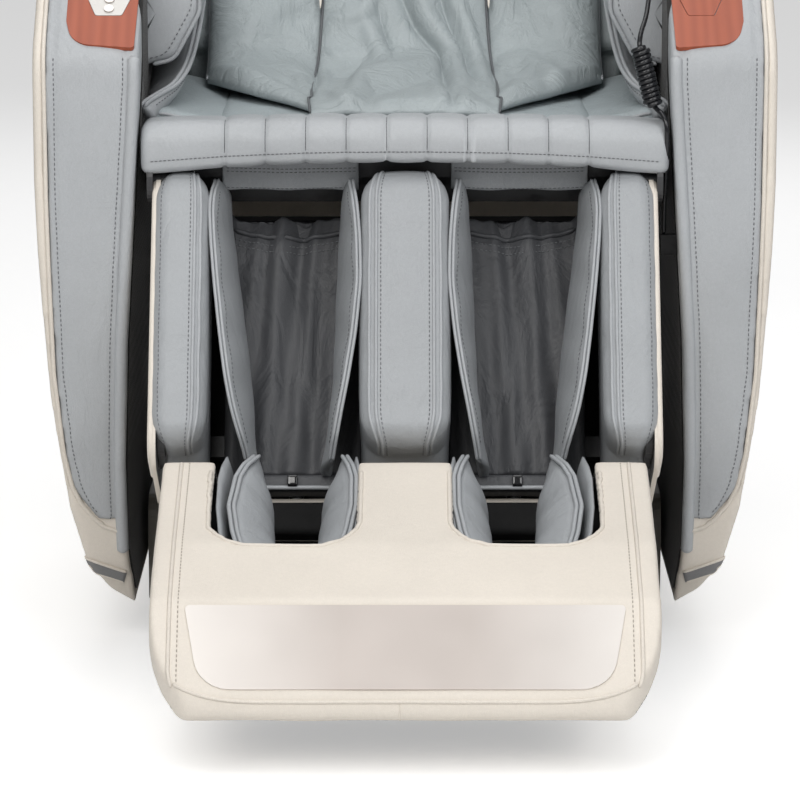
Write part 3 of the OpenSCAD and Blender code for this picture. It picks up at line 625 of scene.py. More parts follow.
# a copy of a CAD node's own surface with bevelled edges, for thin panels wrapped in cloth or leather
def wrapped(name, node, look, body, bevel=1.2):
    o = bpy.data.objects.new(name, frame["nodes"][node].data.copy())
    bpy.context.scene.collection.objects.link(o)
    bm = welded(o.data)
    bm.to_mesh(o.data)
    bm.free()
    o.data.materials.clear()
    o.data.materials.append(looks[look])
    mod = o.modifiers.new("edges", "BEVEL")
    mod.width, mod.segments, mod.limit_method, mod.angle_limit = bevel / 1000, 2, "ANGLE", math.radians(35)
    mod.harden_normals = False
    o.data.polygons.foreach_set("use_smooth", [True] * len(o.data.polygons))
    o.data.set_sharp_from_angle(angle=math.radians(35))
    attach(o, body)
    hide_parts(node)
    return o


sides = {"Left": 1, "Right": -1}


def flip(points, side):
    return np.array(points, float) * (side, 1, 1)


# handset cord: up between seat and arm, curled, then on to the handset
cordSettings = {"d": 5.0, "curlRadius": 7.4, "turns": 12.5, "foot": (250, 22, 574), "head": (236, 28, 632)}


def cordLine(c):
    foot, head = np.array(c["foot"], float), np.array(c["head"], float)
    axis = (head - foot) / np.linalg.norm(head - foot)
    u = np.cross(axis, (0, 1, 0))
    u /= np.linalg.norm(u)
    v = np.cross(axis, u)
    a = np.linspace(0, 2 * math.pi * c["turns"], int(c["turns"] * 26))
    reach = np.clip(np.minimum(a, a[-1] - a) / 1.2, 0, 1)
    reach = reach * reach * (3 - 2 * reach) * c["curlRadius"] * (1 + 0.03 * np.sin(a * 0.37))
    coil = foot + np.outer(a / a[-1], head - foot) + np.outer(reach * np.cos(a),
        u) + np.outer(reach * np.sin(a), v)
    lower = spline([(263.2, 40, 440.5), (263.2, 39, 458), (263.2, 34, 476), (263.2, 22, 500), (263.2, 10, 522),
        (263.0, 5, 545),
                    (262.0, 6, 558), (258.4, 12, 566), (254.0, 18, 570), foot])
    upper = spline([head, (235.8, 30, 637), (238, 38, 647), (244, 57, 662), (248.6, 88, 682),
        (251.4, 120, 700), (252, 152, 716.6),
                    (252.2, 179, 731), (253.6, 192, 737), (258.6, 200, 741.4), (263.4, 201, 742)])
    return evenly(np.vstack([lower[:-1], coil, upper[1:]]), 1.6)


cordPoints = cordLine(cordSettings)
handsetCord = tube("handsetCord", inChair, cordPoints, cordSettings["d"] / 2, "cord", "seat",
    smoothStep=0, sides=10)
handsetCord.parent = None
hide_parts("cord_line", "cord_curl")
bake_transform(handsetCord)

# arms
arm = {"line": [[400, 34], [100, 34, 24], [60, 92, 60], [20, 230, 300], [0, 420, 400], [6, 630, 50],
    [96, 705, 80], [300, 732, 300], [560, 742, 60], [652, 690]],
       "inner": [(20, 280), (110, 287), (200, 287), (330, 283), (600, 266), (800, 266)],
       "grey": [(126, 288), (131, 305), (140, 318), (158, 332), (178, 341), (215, 348), (300, 356), (480, 360),
           (820, 362)],
       "outer": [(20, 280), (40, 284), (57, 308), (89, 330), (152, 346), (278, 362), (403, 370), (500, 374),
           (800, 374)]}


def across(table, z):
    return np.interp(z, [q[0] for q in table], [q[1] for q in table])


armLine = evenly(rounded(arm["line"]), 4.0)
armOut = np.gradient(armLine, axis=0)
armOut = np.stack([-armOut[:, 1], armOut[:, 0]], 1)
armOut /= np.linalg.norm(armOut, axis=1)[:, None]
if armOut[len(armOut) // 3][0] > 0:
    armOut = -armOut


def alongArm(table, inset, lift, z0, z1, y1):
    keep = (armLine[:, 1] > z0) & (armLine[:, 1] < z1) & (armLine[:, 0] < y1)
    p, n = armLine[keep], armOut[keep]
    q = p + n * lift
    return np.column_stack([across(table, p[:, 1]) + inset, q])


def armShape(co, no):
    p = local(inChair, co)
    x, z = np.abs(p[:, 0]), p[:, 2]
    lo, hi = across(arm["inner"], z), across(arm["grey"], z)
    facing = np.clip(-no[:, 1] * 0.8 + np.clip(no[:, 2], 0, 1) * 0.7, 0, 1)
    puff = bulge(x, (lo + hi) / 2 + 4, (hi - lo) / 2) * 3.2
    seam = 1.6 * np.exp(-((x - lo - 14) / 2.6) ** 2) + 1.3 * np.exp(-((x - hi + 8.5) / 2.2) ** 2)
    ripple = lumps(p, 70, 2.0) * 1.1 + lumps(p * (1.6, 1, 0.5), 22, 5.0) * 0.45
    return co + no * ((puff + ripple - seam) * facing / 1000)[:, None]


for tag, k in sides.items():
    pad = eased("armPad" + tag, "arm_cushions", "grey", "seat", voxel=3.4, passes=10, side=k,
        shape=armShape)
    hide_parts("arm_cushions")
    shell = eased("armShell" + tag, "arm_shells", "cream", "seat", voxel=3.6, passes=12, side=k)
    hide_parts("arm_shells")
    roll = flip(alongArm(arm["inner"], 5.8, -1.6, 100, 628, 90), k)
    tube("armEdgeRoll" + tag, inChair, roll, 6.4, "grey", "seat", sides=12)
    upper = flip(alongArm(arm["inner"], 5.5, -1.0, 708, 760, 560), k)
    tube("armTopRoll" + tag, inChair, upper, 5.6, "grey", "seat", sides=12)
    border = flip(alongArm(arm["grey"], 1.2, -0.4, 134, 760, 570), k)
    tube("armBorderWelt" + tag, inChair, border, 2.3, "creamWelt", "seat")
    seamIn = onto(pad, inChair, flip(alongArm(arm["inner"], 17.0, 0, 136, 626, 90), k), 0.35)
    stitches("armInnerStitches" + tag, inChair, seamIn, "thread", "seat")
    seamOut = onto(pad, inChair, flip(alongArm(arm["grey"], -8.5, 0, 146, 628, 90), k), 0.35)
    stitches("armOuterStitches" + tag, inChair, seamOut, "thread", "seat")
    lower = spline([(289, 44, 127), (300, 44, 129), (312, 42, 134), (324, 40, 145)])
    tube("armLowerWelt" + tag, inChair, onto(shell, inChair, flip(lower, k), 0.4, towards=(0, 1, 0)), 2.2,
        "creamWelt", "seat")
    band, rows = [], 7
    for s in np.linspace(0, 1, 14):
        x, z = 334 - 44 * s, 98 - 18 * s
        for t in np.linspace(0, 1, rows):
            band.append((x + 3 * t, 62, z - 12.5 * t))
    band = onto(shell, inChair, flip(band, k), 1.1, towards=(0, 1, 0))
    faces = [(i * rows + j, i * rows + j + 1, (i + 1) * rows + j + 1,
        (i + 1) * rows + j) for i in range(13) for j in range(rows - 1)]
    stripe = newMesh("armStripe" + tag, world(inChair, band), faces, "stripe", "seat")
    thick = stripe.modifiers.new("thick", "SOLIDIFY")
    thick.thickness, thick.offset = 0.0016, 0
    for edge, label in ((0, "Upper"), (rows - 1, "Lower")):
        tube("armStripe" + label + "Welt" + tag, inChair, band[edge::rows], 1.5, "creamWelt", "seat")
    # side panel seam, following the arm's outline
    outline = rounded([[380, 84, 140], [540, 112, 70], [596, 170, 60], [606, 660, 60], [540, 700, 50],
        [300, 694, 200], [120, 668, 60], [52, 600, 40], [48, 420, 300], [66, 240, 200], [110, 130, 50]])
    ring = np.column_stack([across(arm["outer"], outline[:, 1]) + 10, outline])
    ring = onto(shell, inChair, flip(evenly(ring, 4, True), k), 0.1, towards=(-k, 0, 0))
    tube("armSideWelt" + tag, inChair, ring, 2.0, "creamWelt", "seat", closed=True)
    inset = onto(shell, inChair, flip(evenly(np.column_stack([ring[:, 0] * 0 + 390,
        outline.mean(0) + (ring[:, 1:] - outline.mean(0)) * 0.965]), 4, True), k), 0.3, towards=(-k, 0, 0))
    stitches("armSideStitches" + tag, inChair, inset, "threadCream", "seat")
panels = wrapped("armInnerPanels", "arm_inner_panels", "panel", "seat", bevel=1.0)
print("arms")

# air pads between the sitter and the arms
byDepth = (inChair[0], np.array([[0, 1, 0], [1, 0, 0], [0, 0, 1.0]]))
for tag, k in sides.items():
    outline = np.array(rounded([[292, 594, 2], [292, 701, 4], [213, 702, 14], [213, 655, 26],
        [238, 607, 20]])) * (k, 1)
    cell = extruded("airPadUpper" + tag, byDepth, outline, 150, 380, "grey", "seat", "grey_leather", step=4,
        end=9,
                    shape=lambda x, y, z, s: 1.6 * bulge(x, 265, 110) + 0.8 * np.sin(x / 9.0) * bulge(x, 265,
                        120), slump=0.8)
    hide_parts("side_airbags")
    path = np.array(rounded([[262, 601], [240, 606, 20], [213, 655, 26], [213, 700]], 9)) * (k, 1)
    for at, label in ((153.0, "Front"), (164.0, "Back")):
        line = np.column_stack([np.full(len(path), at), path + np.array([-0.6 * k, -0.4])])
        tube("airPadWelt" + label + tag, byDepth, line, 2.3, "welt", "seat")
    inset = np.column_stack([np.full(len(path), 149.2), path + np.array([7.5 * k, 5])])
    stitches("airPadStitches" + tag, byDepth, inset, "thread", "seat", pitch=5.5)
    rim = spline([(268, 74, 566), (262, 84, 571), (250, 100, 577), (236, 126, 584), (226, 168, 598),
        (220, 220, 622), (216, 280, 656), (214, 340, 694), (213, 392, 726)], 5)
    base = rim * (0, 1, 1) + (268, 34, -30)
    us = np.linspace(0, 1, 16)[None, :, None]
    middle = rim[:, None] * (1 - us) + base[:, None] * us
    middle[:, :, 0] -= (7 * np.sin(us[..., 0] * math.pi) + 1.0 * np.sin(np.arange(len(rim))[:,
        None] / 2.6 + us[..., 0] * 4) * us[..., 0])
    middle[:, :, 1] -= 8 * np.sin(us[..., 0] * math.pi)
    half = np.tile(4.0 * (1 - (2 * us[0, :, 0] - 1) ** 4) + 1.6, (len(rim), 1))
    hip = pillowSheet("hipPad" + tag, inChair, middle * (k, 1, 1), half, "grey", "seat")
    for dx, label in ((-2.4, "Inner"), (2.6, "Outer")):
        tube("hipWelt" + label + tag, inChair, flip(rim + (dx, -1.5, 0.5), k), 2.3, "welt", "seat",
            smoothStep=4)
    inset = onto(hip, inChair, flip(rim[3:-2] * 0.86 + base[3:-2] * 0.14 + (-9, -5, 0), k), 0.4)
    stitches("hipStitches" + tag, inChair, inset, "thread", "seat", pitch=5.2)
    panel = extruded("seatSide" + tag, inChair, rounded([[86, 500, 4], [384, 500, 6], [384, 552, 12],
        [86, 548, 12]]), *(sorted((184 * k, 258 * k))), "seat", "seat", "grey_leather", step=4,
                     end=7, slump=0.8, warp=lambda p: np.column_stack([p[:, :2],
                         p[:, 2] + np.clip((np.abs(p[:, 0]) - 186) / 60, 0, 1) * 15 * (p[:, 2] > 530)]))
    line = onto(panel, inChair, flip([(x, 88, 600) for x in np.linspace(190, 252, 24)], k), 0.3,
        towards=(0, 0, -1))
    tube("seatSideWelt" + tag, inChair, line, 1.9, "welt", "seat")
print("air pads")

# seat cushion, and the front roll with its stitched channels
rollSettings = {"first": -181.2, "pitch": 40.7, "count": 10, "depth": 1.5, "puff": 1.0}
rollSeams = rollSettings["first"] + rollSettings["pitch"] * np.arange(rollSettings["count"])


def rollShape(x, y, z, s):
    near = np.abs(x[0] - rollSeams).min()
    inside = rollSeams[0] < x[0] < rollSeams[-1]
    groove = rollSettings["depth"] * math.exp(-(near / 2.6) ** 2)
    puff = rollSettings["puff"] * (math.sin(min(1,
        near / (rollSettings["pitch"] / 2)) * math.pi / 2) if inside else bulge(abs(x[0]), 218, 36))
    outer = np.clip((40 - y) / 24, 0, 1) + np.clip((z - 545) / 12, 0, 1)
    wrinkle = 0.35 * np.sin(z / 5.5 + x / 17.0) * math.exp(-(near / 12) ** 2)
    seam = 1.0 * np.exp(-((z - 527.5) / 1.8) ** 2) * (y < 30)
    return np.clip(outer, 0, 1) * (puff - groove + wrinkle) - seam


rollXs = np.unique(np.concatenate([np.arange(-256, 257, 4.0)] + [rollSeams + d for d in (-5, -3, -1.6, 0, 1.6,
    3, 5)]))
rollOutline = rounded([[3, 518, 11], [76, 518, 6], [76, 560, 14], [3, 562, 24]])


def rollSag(p):
    q = np.array(p, float)
    t = np.abs(q[:, 0]) / 265
    q[:, 2] -= 4.0 * t ** 2 + 9.0 * t ** 2.4 * np.clip((545 - q[:, 2]) / 20, 0, 1)
    return q


seatRoll = extruded("seatRoll", inChair, rollOutline, -266, 266, "grey", "seat", "grey_leather", step=2.4,
    xs=rollXs, end=10, shape=rollShape, slump=0.9, warp=rollSag)
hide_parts("seat_roll")
for i, x in enumerate(rollSeams):
    line = [(x, 40 - 70 * math.cos(a), 541 + 60 * math.sin(a)) for a in np.linspace(-0.3, 1.5, 34)]
    line = onto(seatRoll, inChair, rollSag(line), 0.15, axis=(40, 540))
    if 0 < i < len(rollSeams) - 1:
        stitches("rollStitches" + str(i), inChair, line, "thread", "seat", pitch=4.2, radius=0.5)
    tube("rollSeam" + str(i), inChair, line - (0, 0, 0.2), 0.45, "seamLine", "seat", sides=6)
frontTop = onto(seatRoll, inChair, rollSag([(x, -20, 529.5) for x in np.linspace(-256, 256, 170)]), 0.3,
    towards=(0, 1, 0))
stitches("rollTopStitches", inChair, frontTop, "thread", "seat", pitch=4.4)
for tag, k in sides.items():
    valance = extruded("seatValance" + tag, inChair, rounded([[58, 483, 2], [64.4, 483, 2], [65, 498, 1],
        [50, 521, 1], [44, 521, 1]]), *(sorted((47 * k, 186 * k))), "valance", "seat",
                       "grey_leather", step=1.8, end=1.6, shape=lambda x, y, z,
                           s: 0.8 * np.sin(x / 11.0) * (y < 61))
    for z, label in ((507, "Upper"), (503.5, "Middle"), (486, "Lower")):
        line = onto(valance, inChair, [(x * k, 20,
            z - 1.5 * math.sin((x - 47) / 139 * math.pi)) for x in np.linspace(50, 183, 50)], 0.2,
            towards=(0, 1, 0))
        stitches("valance" + label + "Stitches" + tag, inChair, line, "thread", "seat", pitch=4.6)
seatCushion = extruded("seatCushion", inChair, rounded([[82, 492, 6], [372, 492, 8], [392, 552, 22],
    [82, 552, 18]]), -196, 196, "seat", "seat", "grey_leather", step=4.5, end=14,
                       shape=lambda x, y, z, s: (z > 540) * (2.0 * bulge(x, 0,
                           190) - 2.2 * np.exp(-((np.abs(x) - 92) / 4) ** 2)), slump=1.6)
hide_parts("seat_cushion")
print("seat")

# backrest
backShell = wrapped("backShell", "back_shell", "cream", "backrest", bevel=2.2)


# the padded backrest and its bolsters, as a surface over the CAD cushion's face
def ridges(x, h, folds):       # soft ridges and valleys along polylines
    out = np.zeros(np.broadcast(x, h).shape)
    for tall, width, line in folds:
        line = np.array(line, float)
        steps = np.linalg.norm(np.diff(line, axis=0), axis=1)
        total, run = steps.sum(), 0.0
        gap, along = np.full(out.shape, 1e9), np.zeros(out.shape)
        for (x0, h0), (x1, h1), size in zip(line, line[1:], steps):
            t = np.clip(((x - x0) * (x1 - x0) + (h - h0) * (h1 - h0)) / size ** 2, 0, 1)
            d = np.hypot(x - x0 - t * (x1 - x0), h - h0 - t * (h1 - h0))
            along = np.where(d < gap, (run + t * size) / total, along)
            gap = np.minimum(gap, d)
            run += size
        taper = np.sin(np.pi * np.clip(along, 0.06, 0.94)) ** 0.5
        out += tall * taper * np.exp(-(gap / width) ** 1.6)
    return out


panelFolds = [(4.5, 7, [(98, 118), (128, 112), (168, 104), (196, 100)]),
    (3.5, 6, [(98, 146), (122, 138), (150, 140)]), (-3.5, 6, [(98, 131), (130, 126), (176, 114)]),
              (4.0, 7, [(99, 176), (116, 160), (134, 158), (158, 166)]),
                  (3.0, 7, [(99, 98), (140, 92), (200, 84)]), (3.0, 8, [(100, 230), (126, 214)]),
                  (3.0, 9, [(100, 300), (130, 320)])]


def backFolds(co, no):
    p = local(inBack, co)
    facing = np.clip(-no[:, 1], 0, 1)
    return co + no * ((lumps(p, 60, 4.0) * 2.2 + lumps(p * (1, 1, 2.2), 24,
        9.0) * 0.9 + facing * ridges(np.abs(p[:, 0]) + 5 * np.sign(p[:, 0]), p[:, 2], panelFolds)) / 1000)[:,
        None]


cushion = eased("backCushion", "back_cushion", "back", "backrest", voxel=4.2, passes=14,
    shape=backFolds)
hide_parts("back_cushion")


# centre pad: runs over the seat to the roll and up the backrest, with deep soft folds
# each fold: height, width, and its line as (x, height as seen from the front)
tongueFolds = [
    (-7.5, 6.5, [(-13, 120), (10, 84), (36, 60), (43, 32), (47, 2)]),
        (6.5, 8, [(6, 120), (28, 84), (52, 62), (60, 34), (62, 6)]),
    (-5.5, 5, [(-30, 97), (-12, 50)]), (5.5, 8, [(-93, 77), (-77, 86), (-46, 92), (-30, 112)]),
        (4.5, 8, [(-44, 88), (-26, 52), (-20, 44)]),
    (8.0, 9, [(43, 49), (20, 42), (-4, 36), (-44, 31), (-57, 4)]),
        (-5.5, 7, [(-90, 46), (-62, 40), (-40, 50)]), (-6.0, 7, [(34, 34), (0, 22), (-30, 14), (-36, 2)]),
    (-6.0, 6, [(32, 120), (49, 81), (66, 46), (86, 14)]), (6.5, 6, [(46, 120), (64, 90), (80, 50), (96, 16)]),
    (5.5, 5, [(-93, 8), (-84, 28), (-90, 56)]), (5.0, 5, [(98, 10), (69, 34)]),
        (-3.5, 4, [(98, 6), (62, 20), (52, 6)]),
    (4.0, 5, [(-78, 12), (-56, 3)]), (4.0, 5, [(28, 16), (42, 3)]), (3.5, 5, [(-86, 62), (-70, 52)]),
    (4.5, 14, [(-60, 140), (-20, 200), (30, 260)]), (4.5, 12, [(60, 150), (20, 220)]),
        (3.0, 16, [(-70, 260), (0, 320)]),
]
tongueRoute = spline([(78, 558), (98, 563), (150, 566), (220, 567), (300, 571), (352, 584), (385, 612),
    (408, 650), (432, 700), (469, 776), (512, 868), (560, 972), (600, 1058)], 6)


def foldHeight(x, v):
    up = np.interp(v, [0, 270, 370, 900], [0, 51, 113, 460])
    return 1.2 * np.sin(x / 23.0 + up / 20.0) + 1.45 * ridges(x, up, tongueFolds)


def routeUp(route):      # unit normals of a line in y and z, on its upper side
    t = np.gradient(route, axis=0)
    return np.stack([-t[:, 1], t[:, 0]], 1) / np.linalg.norm(t, axis=1)[:, None]


def tongueMesh(name):
    route = evenly(tongueRoute, 3.5)
    up = routeUp(route)
    xs = np.linspace(-1, 1, 66)
    v = np.arange(len(route)) * 3.5
    wide = 93 + 5 * np.sin(v / 90.0) + 4 * (v < 60)
    x = np.outer(wide, xs)
    edge = (1 - np.abs(xs) ** 8)[None, :] * np.clip(np.minimum((v + 8) / 26, (v[-1] + 4 - v) / 20), 0, 1)[:,
        None]
    rise = (6 + foldHeight(x, np.tile(v[:, None], (1, len(xs)))) + 4 * bulge(x, 0, 95)) * edge
    lift = (rise - 4) / 2
    middle = np.stack([x, route[:, None, 0] + up[:, None, 0] * lift,
        route[:, None, 1] + up[:, None, 1] * lift], 2)
    edges = [np.column_stack([s * wide, route + up * 2.2]) for s in (1, -1)]
    return pillowSheet(name, inChair, middle, (rise + 4) / 2, "back", "backrest"), edges


def acrossRecline(o):
    o.parent = None
    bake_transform(o)


tongue, tongueEdges = tongueMesh("backCentrePad")
acrossRecline(tongue)
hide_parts("back_center_pad")
for label, edge in zip(("Left", "Right"), tongueEdges):
    acrossRecline(tube("tongueSeam" + label, inChair, edge, 1.3, "seamLine", "backrest", smoothStep=4))
drapeFolds = {
    "Left": [(4.5, 6, [(-92, 34), (-114, 41), (-140, 45)]), (-5, 6, [(-92, 12), (-121, 27), (-146, 31)]),
        (4, 6, [(-94, 20), (-120, 34)]), (4.5, 8, [(-92, 62), (-130, 78)]),
             (3, 12, [(-110, 110), (-190, 60)]), (-3, 9, [(-100, 92), (-150, 84)]),
                 (3.5, 7, [(-150, 22), (-190, 34)])],
    "Right": [(6, 6, [(94, 28), (106, 46), (128, 49), (153, 37), (174, 22)]),
        (-5, 6, [(97, 21), (116, 39), (138, 33), (158, 20)]), (4, 7, [(95, 12), (130, 22)]),
              (4, 9, [(92, 70), (128, 86)]), (3, 12, [(110, 120), (190, 70)]), (3, 9, [(150, 60), (196, 48)])]}


def drapeMesh(name, k, folds):      # the back's side panel: its lower end runs out over the seat
    across = np.linspace(0, 1, 40)
    x = 91 + 121 * across
    start = np.interp(x, [92, 150, 212], [26, 120, 224])
    steps = np.linspace(0, 1, 110)[:, None]
    v = start + (560 - start) * steps
    table = evenly(tongueRoute, 3.5)
    up = routeUp(table)
    at = np.arange(len(table)) * 3.5
    place = [np.interp(v, at, q) for q in (table[:, 0], table[:, 1], up[:, 0], up[:, 1])]
    h = np.interp(v, [0, 270, 370, 900], [0, 51, 113, 460])
    rim = (1 - np.abs(2 * across - 1) ** 7)[None, :] * np.clip(np.minimum(steps / 0.07, (1.01 - steps) / 0.08),
        0, 1) ** 0.6
    rise = (7 + 9 * np.clip((x - 120) / 50, 0, 1) + 5 * np.sin(np.pi * across) + ridges(k * x[None, :], h,
        folds) + np.sin(x / 19 + h / 17)) * rim
    lift = (rise - 6) / 2 - 3
    middle = np.stack([np.tile(k * x, (len(v), 1)), place[0] + place[2] * lift, place[1] + place[3] * lift], 2)
    o = pillowSheet(name, inChair, middle, (rise + 5) / 2, "back", "backrest")
    return o, middle


def creamWedge(name, k):      # insert between the centre pad and the side panel, widening upwards
    route = evenly(tongueRoute, 3.5)[98:170]
    up = routeUp(route)
    wide = 9.0 * np.linspace(0, 1, len(route)) ** 0.7 + 0.4
    x = k * (92 + np.outer(wide, np.linspace(-1, 1, 5)))
    middle = np.stack([x, np.tile((route[:, 0] + up[:, 0] * 8)[:, None], (1, 5)),
        np.tile((route[:, 1] + up[:, 1] * 8)[:, None], (1, 5))], 2)
    return pillowSheet(name, inChair, middle, np.full(x.shape, 1.2), "cream", "backrest")


for tag, k in sides.items():
    acrossRecline(creamWedge("backWedge" + tag, k))
    drape, drapeMiddle = drapeMesh("backSidePanel" + tag, k, drapeFolds["Right" if k > 0 else "Left"])
    acrossRecline(drape)
    acrossRecline(tube("backSidePanelWelt" + tag, inChair, drapeMiddle[:, -1] + (0, 0, 2), 2.2, "welt",
        "backrest", smoothStep=4))
    shoulder = extruded("shoulderPad" + tag, inBack, rounded([[-180, 440, 40], [-64.3, 400, 16],
        [-64.3, 680, 20], [-170, 640, 52]]), *(sorted((252 * k, 308 * k))), "grey", "backrest",
                        "grey_leather", step=5, end=14, slump=1.2)
    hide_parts("shoulder_pads")
    for x in (256, 304):
        rim = rounded([[-66, 402], [-178, 442, 40], [-170, 640, 52], [-66, 678]])
        rim = np.column_stack([np.full(len(rim), x * k), rim])
        tube("shoulderWelt" + str(x) + tag, inBack, onto(shoulder, inBack, evenly(rim, 5), 0.4), 2.2, "welt",
            "backrest")
pillow = extruded("headPillow", inBack, rounded([[-152, 672, 30], [-98.3, 642, 12], [-98.3, 800, 12],
    [-146, 788, 30]]), -150, 150, "grey", "backrest", "grey_leather", step=4, end=20,
                  shape=lambda x, y, z, s: 3 * bulge(x, 0, 130) * (y < -110), slump=1.4)
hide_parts("head_pillow")
for z in (664, 796):
    tube("pillowWelt" + str(z), inBack, onto(pillow, inBack, [(x, -140, z) for x in np.linspace(-134, 134,
        40)], 0.4, towards=(0, 1, 0)), 2.0, "welt", "backrest")
print("backrest")
# leg rest: pads with gussets and welts, dark channels, leaf flaps
padOutline = rounded([[-27, -306, 24], [100, -306, 4], [100, 8, 12], [-27, 8, 38]], 9)


def padShape(centre, half):
    def shape(x, y, z, s):
        face = np.clip((40 - y) / 30, 0, 1)
        near = np.exp(-((half - np.abs(x - centre)) / 5.0) ** 2)
        ripple = 0.8 * np.sin(z / 6.2 + 0.2 * x) * near + 0.5 * np.sin(z / 10.0)
        return face * (3.0 * bulge(x, centre, half) + ripple)
    return shape


calfShell = wrapped("calfShell", "calf_shell", "cream", "leg_rest", bevel=2.4)
# faces inside the calf channels get the near-black cloth: painted shade in the gaps behind the pads
calfShell.data.materials.append(looks["mesh"])
for poly in calfShell.data.polygons:
    at, tip = local(inLeg, [poly.center, poly.center + poly.normal * 0.001])
    if abs(at[0]) < 246.6 and (at[1] < 121.6 or (tip - at)[1] < -0.5):
        poly.material_index = 1
padRows = {     # lines: distance from the pad's middle, and the welt's radius, 0 for stitches
    "outer": {"centre": 224.5, "half": 27.5, "lines": [(20.5, 0), (-9.5, 0), (-13.5, 1.8), (-20.0, 1.8)]},
    "centre": {"centre": 0.0, "half": 44.0, "lines": [(-24, 0), (-28.5, 1.8), (-35.5, 1.8), (24, 0),
        (28.5, 1.8), (35.5, 1.8)]},
}
frontLine = evenly(rounded([[90, -306], [-27, -306, 24], [-27, 8, 38], [90, 8]], 9), 2.0)
frontAlong = np.arange(len(frontLine)) * 2.0


def padWarp(p, centre, half):      # bulging sides, and corners that round off seen from the front
    q = p.copy()
    off = (p[:, 0] - centre) / half
    side = 3.2 * np.sign(off) * np.clip(1 - ((p[:, 2] + 150) / 150) ** 2, 0, 1) * np.clip(np.abs(off), 0,
        1) ** 4
    side *= np.where(off * centre > 0, 0.0, 1.0)
    near = np.clip(1 - np.minimum(8 - p[:, 2], p[:, 2] + 306) / 40, 0, 1)
    ease = np.clip(1 - (p[:, 1] - 30) / 50, 0, 1)
    q[:, 0] += (side * np.clip(1 - np.abs(p[:, 1] - 20) / 60, 0, 1)) - off * min(half,
        34) * 0.34 * near ** 2 * ease
    q[:, 2] += 22.0 * np.clip(1 - (p[:, 2] + 306) / 90, 0, 1) * ease
    return q


def calfPad(name, rows, k):
    centre, half = rows["centre"] * k, rows["half"]
    pad = extruded(name, inLeg, padOutline, centre - half, centre + half, "greyFoot", "leg_rest",
        "grey_leather", step=3.0, end=15, xs=np.linspace(centre - half + 15, centre + half - 15, 13),
                   shape=padShape(centre, half), slump=0.8,
                   warp=lambda p: padWarp(p, centre, half))
    keep = (frontAlong > 66) & (frontAlong < frontAlong[-1] - 54)
    for number, (off, r) in enumerate(rows["lines"]):
        line = np.column_stack([np.full(keep.sum(), centre + off * k), frontLine[keep]])
        line = onto(pad, inLeg, padWarp(line, centre, half), 0.2)
        if r:
            tube(name + "Welt" + str(number), inLeg, line, r, "welt", "leg_rest",
                smoothStep=4)
        else:
            stitches(name + "Stitches" + str(number), inLeg, line, "thread", "leg_rest", pitch=4.8)
    return pad


for tag, k in sides.items():
    pad = calfPad("calfPad" + tag, padRows["outer"], k)
    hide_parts("calf_pads_outer")
    side = extruded("calfSide" + tag, inLeg, rounded([[-20, -300, 24], [60, -300, 10], [60, 4, 10],
        [-20, 4, 34]]), *(sorted((247.5 * k, 254.5 * k))), "cream", "leg_rest", "cream_shell", step=4, end=3.4)
centrePad = calfPad("calfPadCentre", padRows["centre"], 1)
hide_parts("calf_pad_center")


# leaf flaps: z down the channel, x of the front edge, x of the rear edge, y of the front edge
leaves = {
    "Inner": [(6, 55, 52, 20), (-6, 54, 56, -6), (-32, 50, 61, -17), (-70, 47, 64, -20), (-115, 46, 66, -20),
        (-169, 51, 67, -20), (-215, 58, 68, -18), (-250, 65, 70, -10), (-280, 71, 74, 6), (-292, 75, 77, 34)],
    "Outer": [(6, 190, 187, 20), (-6, 192, 184, -6), (-32, 195, 181, -17), (-70, 193, 175, -20),
        (-115, 189, 169, -20), (-169, 183, 162, -20), (-215, 177, 157, -18), (-250, 170, 156, -10),
        (-280, 160, 156, 6), (-292, 155, 154, 34)],
}


def leafFlap(name, rows, k):
    table = np.array(rows, float)[::-1]
    zs = np.arange(-291, 6, 4.0)
    front = np.stack([np.interp(zs, table[:, 0], table[:, j]) for j in (1, 2, 3)], 1)
    for j in range(3):
        front[:, j] = np.convolve(np.pad(front[:, j], 3, mode="edge"), np.ones(7) / 7, mode="valid")
    us = np.linspace(0, 1, 15)
    outward = 1.0 if table[:, 1].mean() > 113 else -1.0
    xf, xr, yf = (front[:, j][:, None] for j in range(3))
    bow = 5.0 * np.sin(us * math.pi) + 0.9 * np.sin(zs[:, None] / 9.0 + us * 5) * us
    x = xr + (xf - xr) * us ** 1.3 - outward * bow
    middle = np.stack([x * k, 90 + (yf - 90) * us, np.tile(zs[:, None], (1, len(us)))], 2)
    half = np.tile(3.2 * (1 - (2 * us - 1) ** 4) + 1.2, (len(zs), 1))
    o = pillowSheet(name, inLeg, middle, half, "greyFoot", "leg_rest")
    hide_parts("calf_flaps")
    edge = np.column_stack([front[:, 0] * k, front[:, 2], zs])
    for dx, label in ((-1.8, "A"), (1.8, "B")):
        tube(name + "Welt" + label, inLeg, edge + (dx, -0.5, 0), 1.7, "welt", "leg_rest",
            smoothStep=4)
    inset = edge[4:-4] + np.column_stack([-outward * k * np.full(len(edge) - 8, 4.4),
        np.full(len(edge) - 8, 9.0), np.zeros(len(edge) - 8)])
    stitches(name + "Stitches", inLeg, onto(o, inLeg, inset, 0.3), "thread", "leg_rest", pitch=4.8)
    return o


def liningShape(x, y, z, s):
    face = (y < 94).astype(float)
    band = np.exp(-((z + 20) / 14) ** 2)
    u = (np.abs(x) - 113) / 66
    hang = np.clip(-(z + 6) / 130, 0, 1)
    gathers = 5.0 * np.sin(u * 7.5 + 1.1 * np.sin(z / 70)) ** 3 * np.exp(-hang * 1.1)
    folds = gathers + 2.5 * np.sin(u * 13 + z / 60)
    return face * (folds + 2 - 6 * np.clip((z + 34) / 28, 0, 1) * bulge(u, 0, 1))


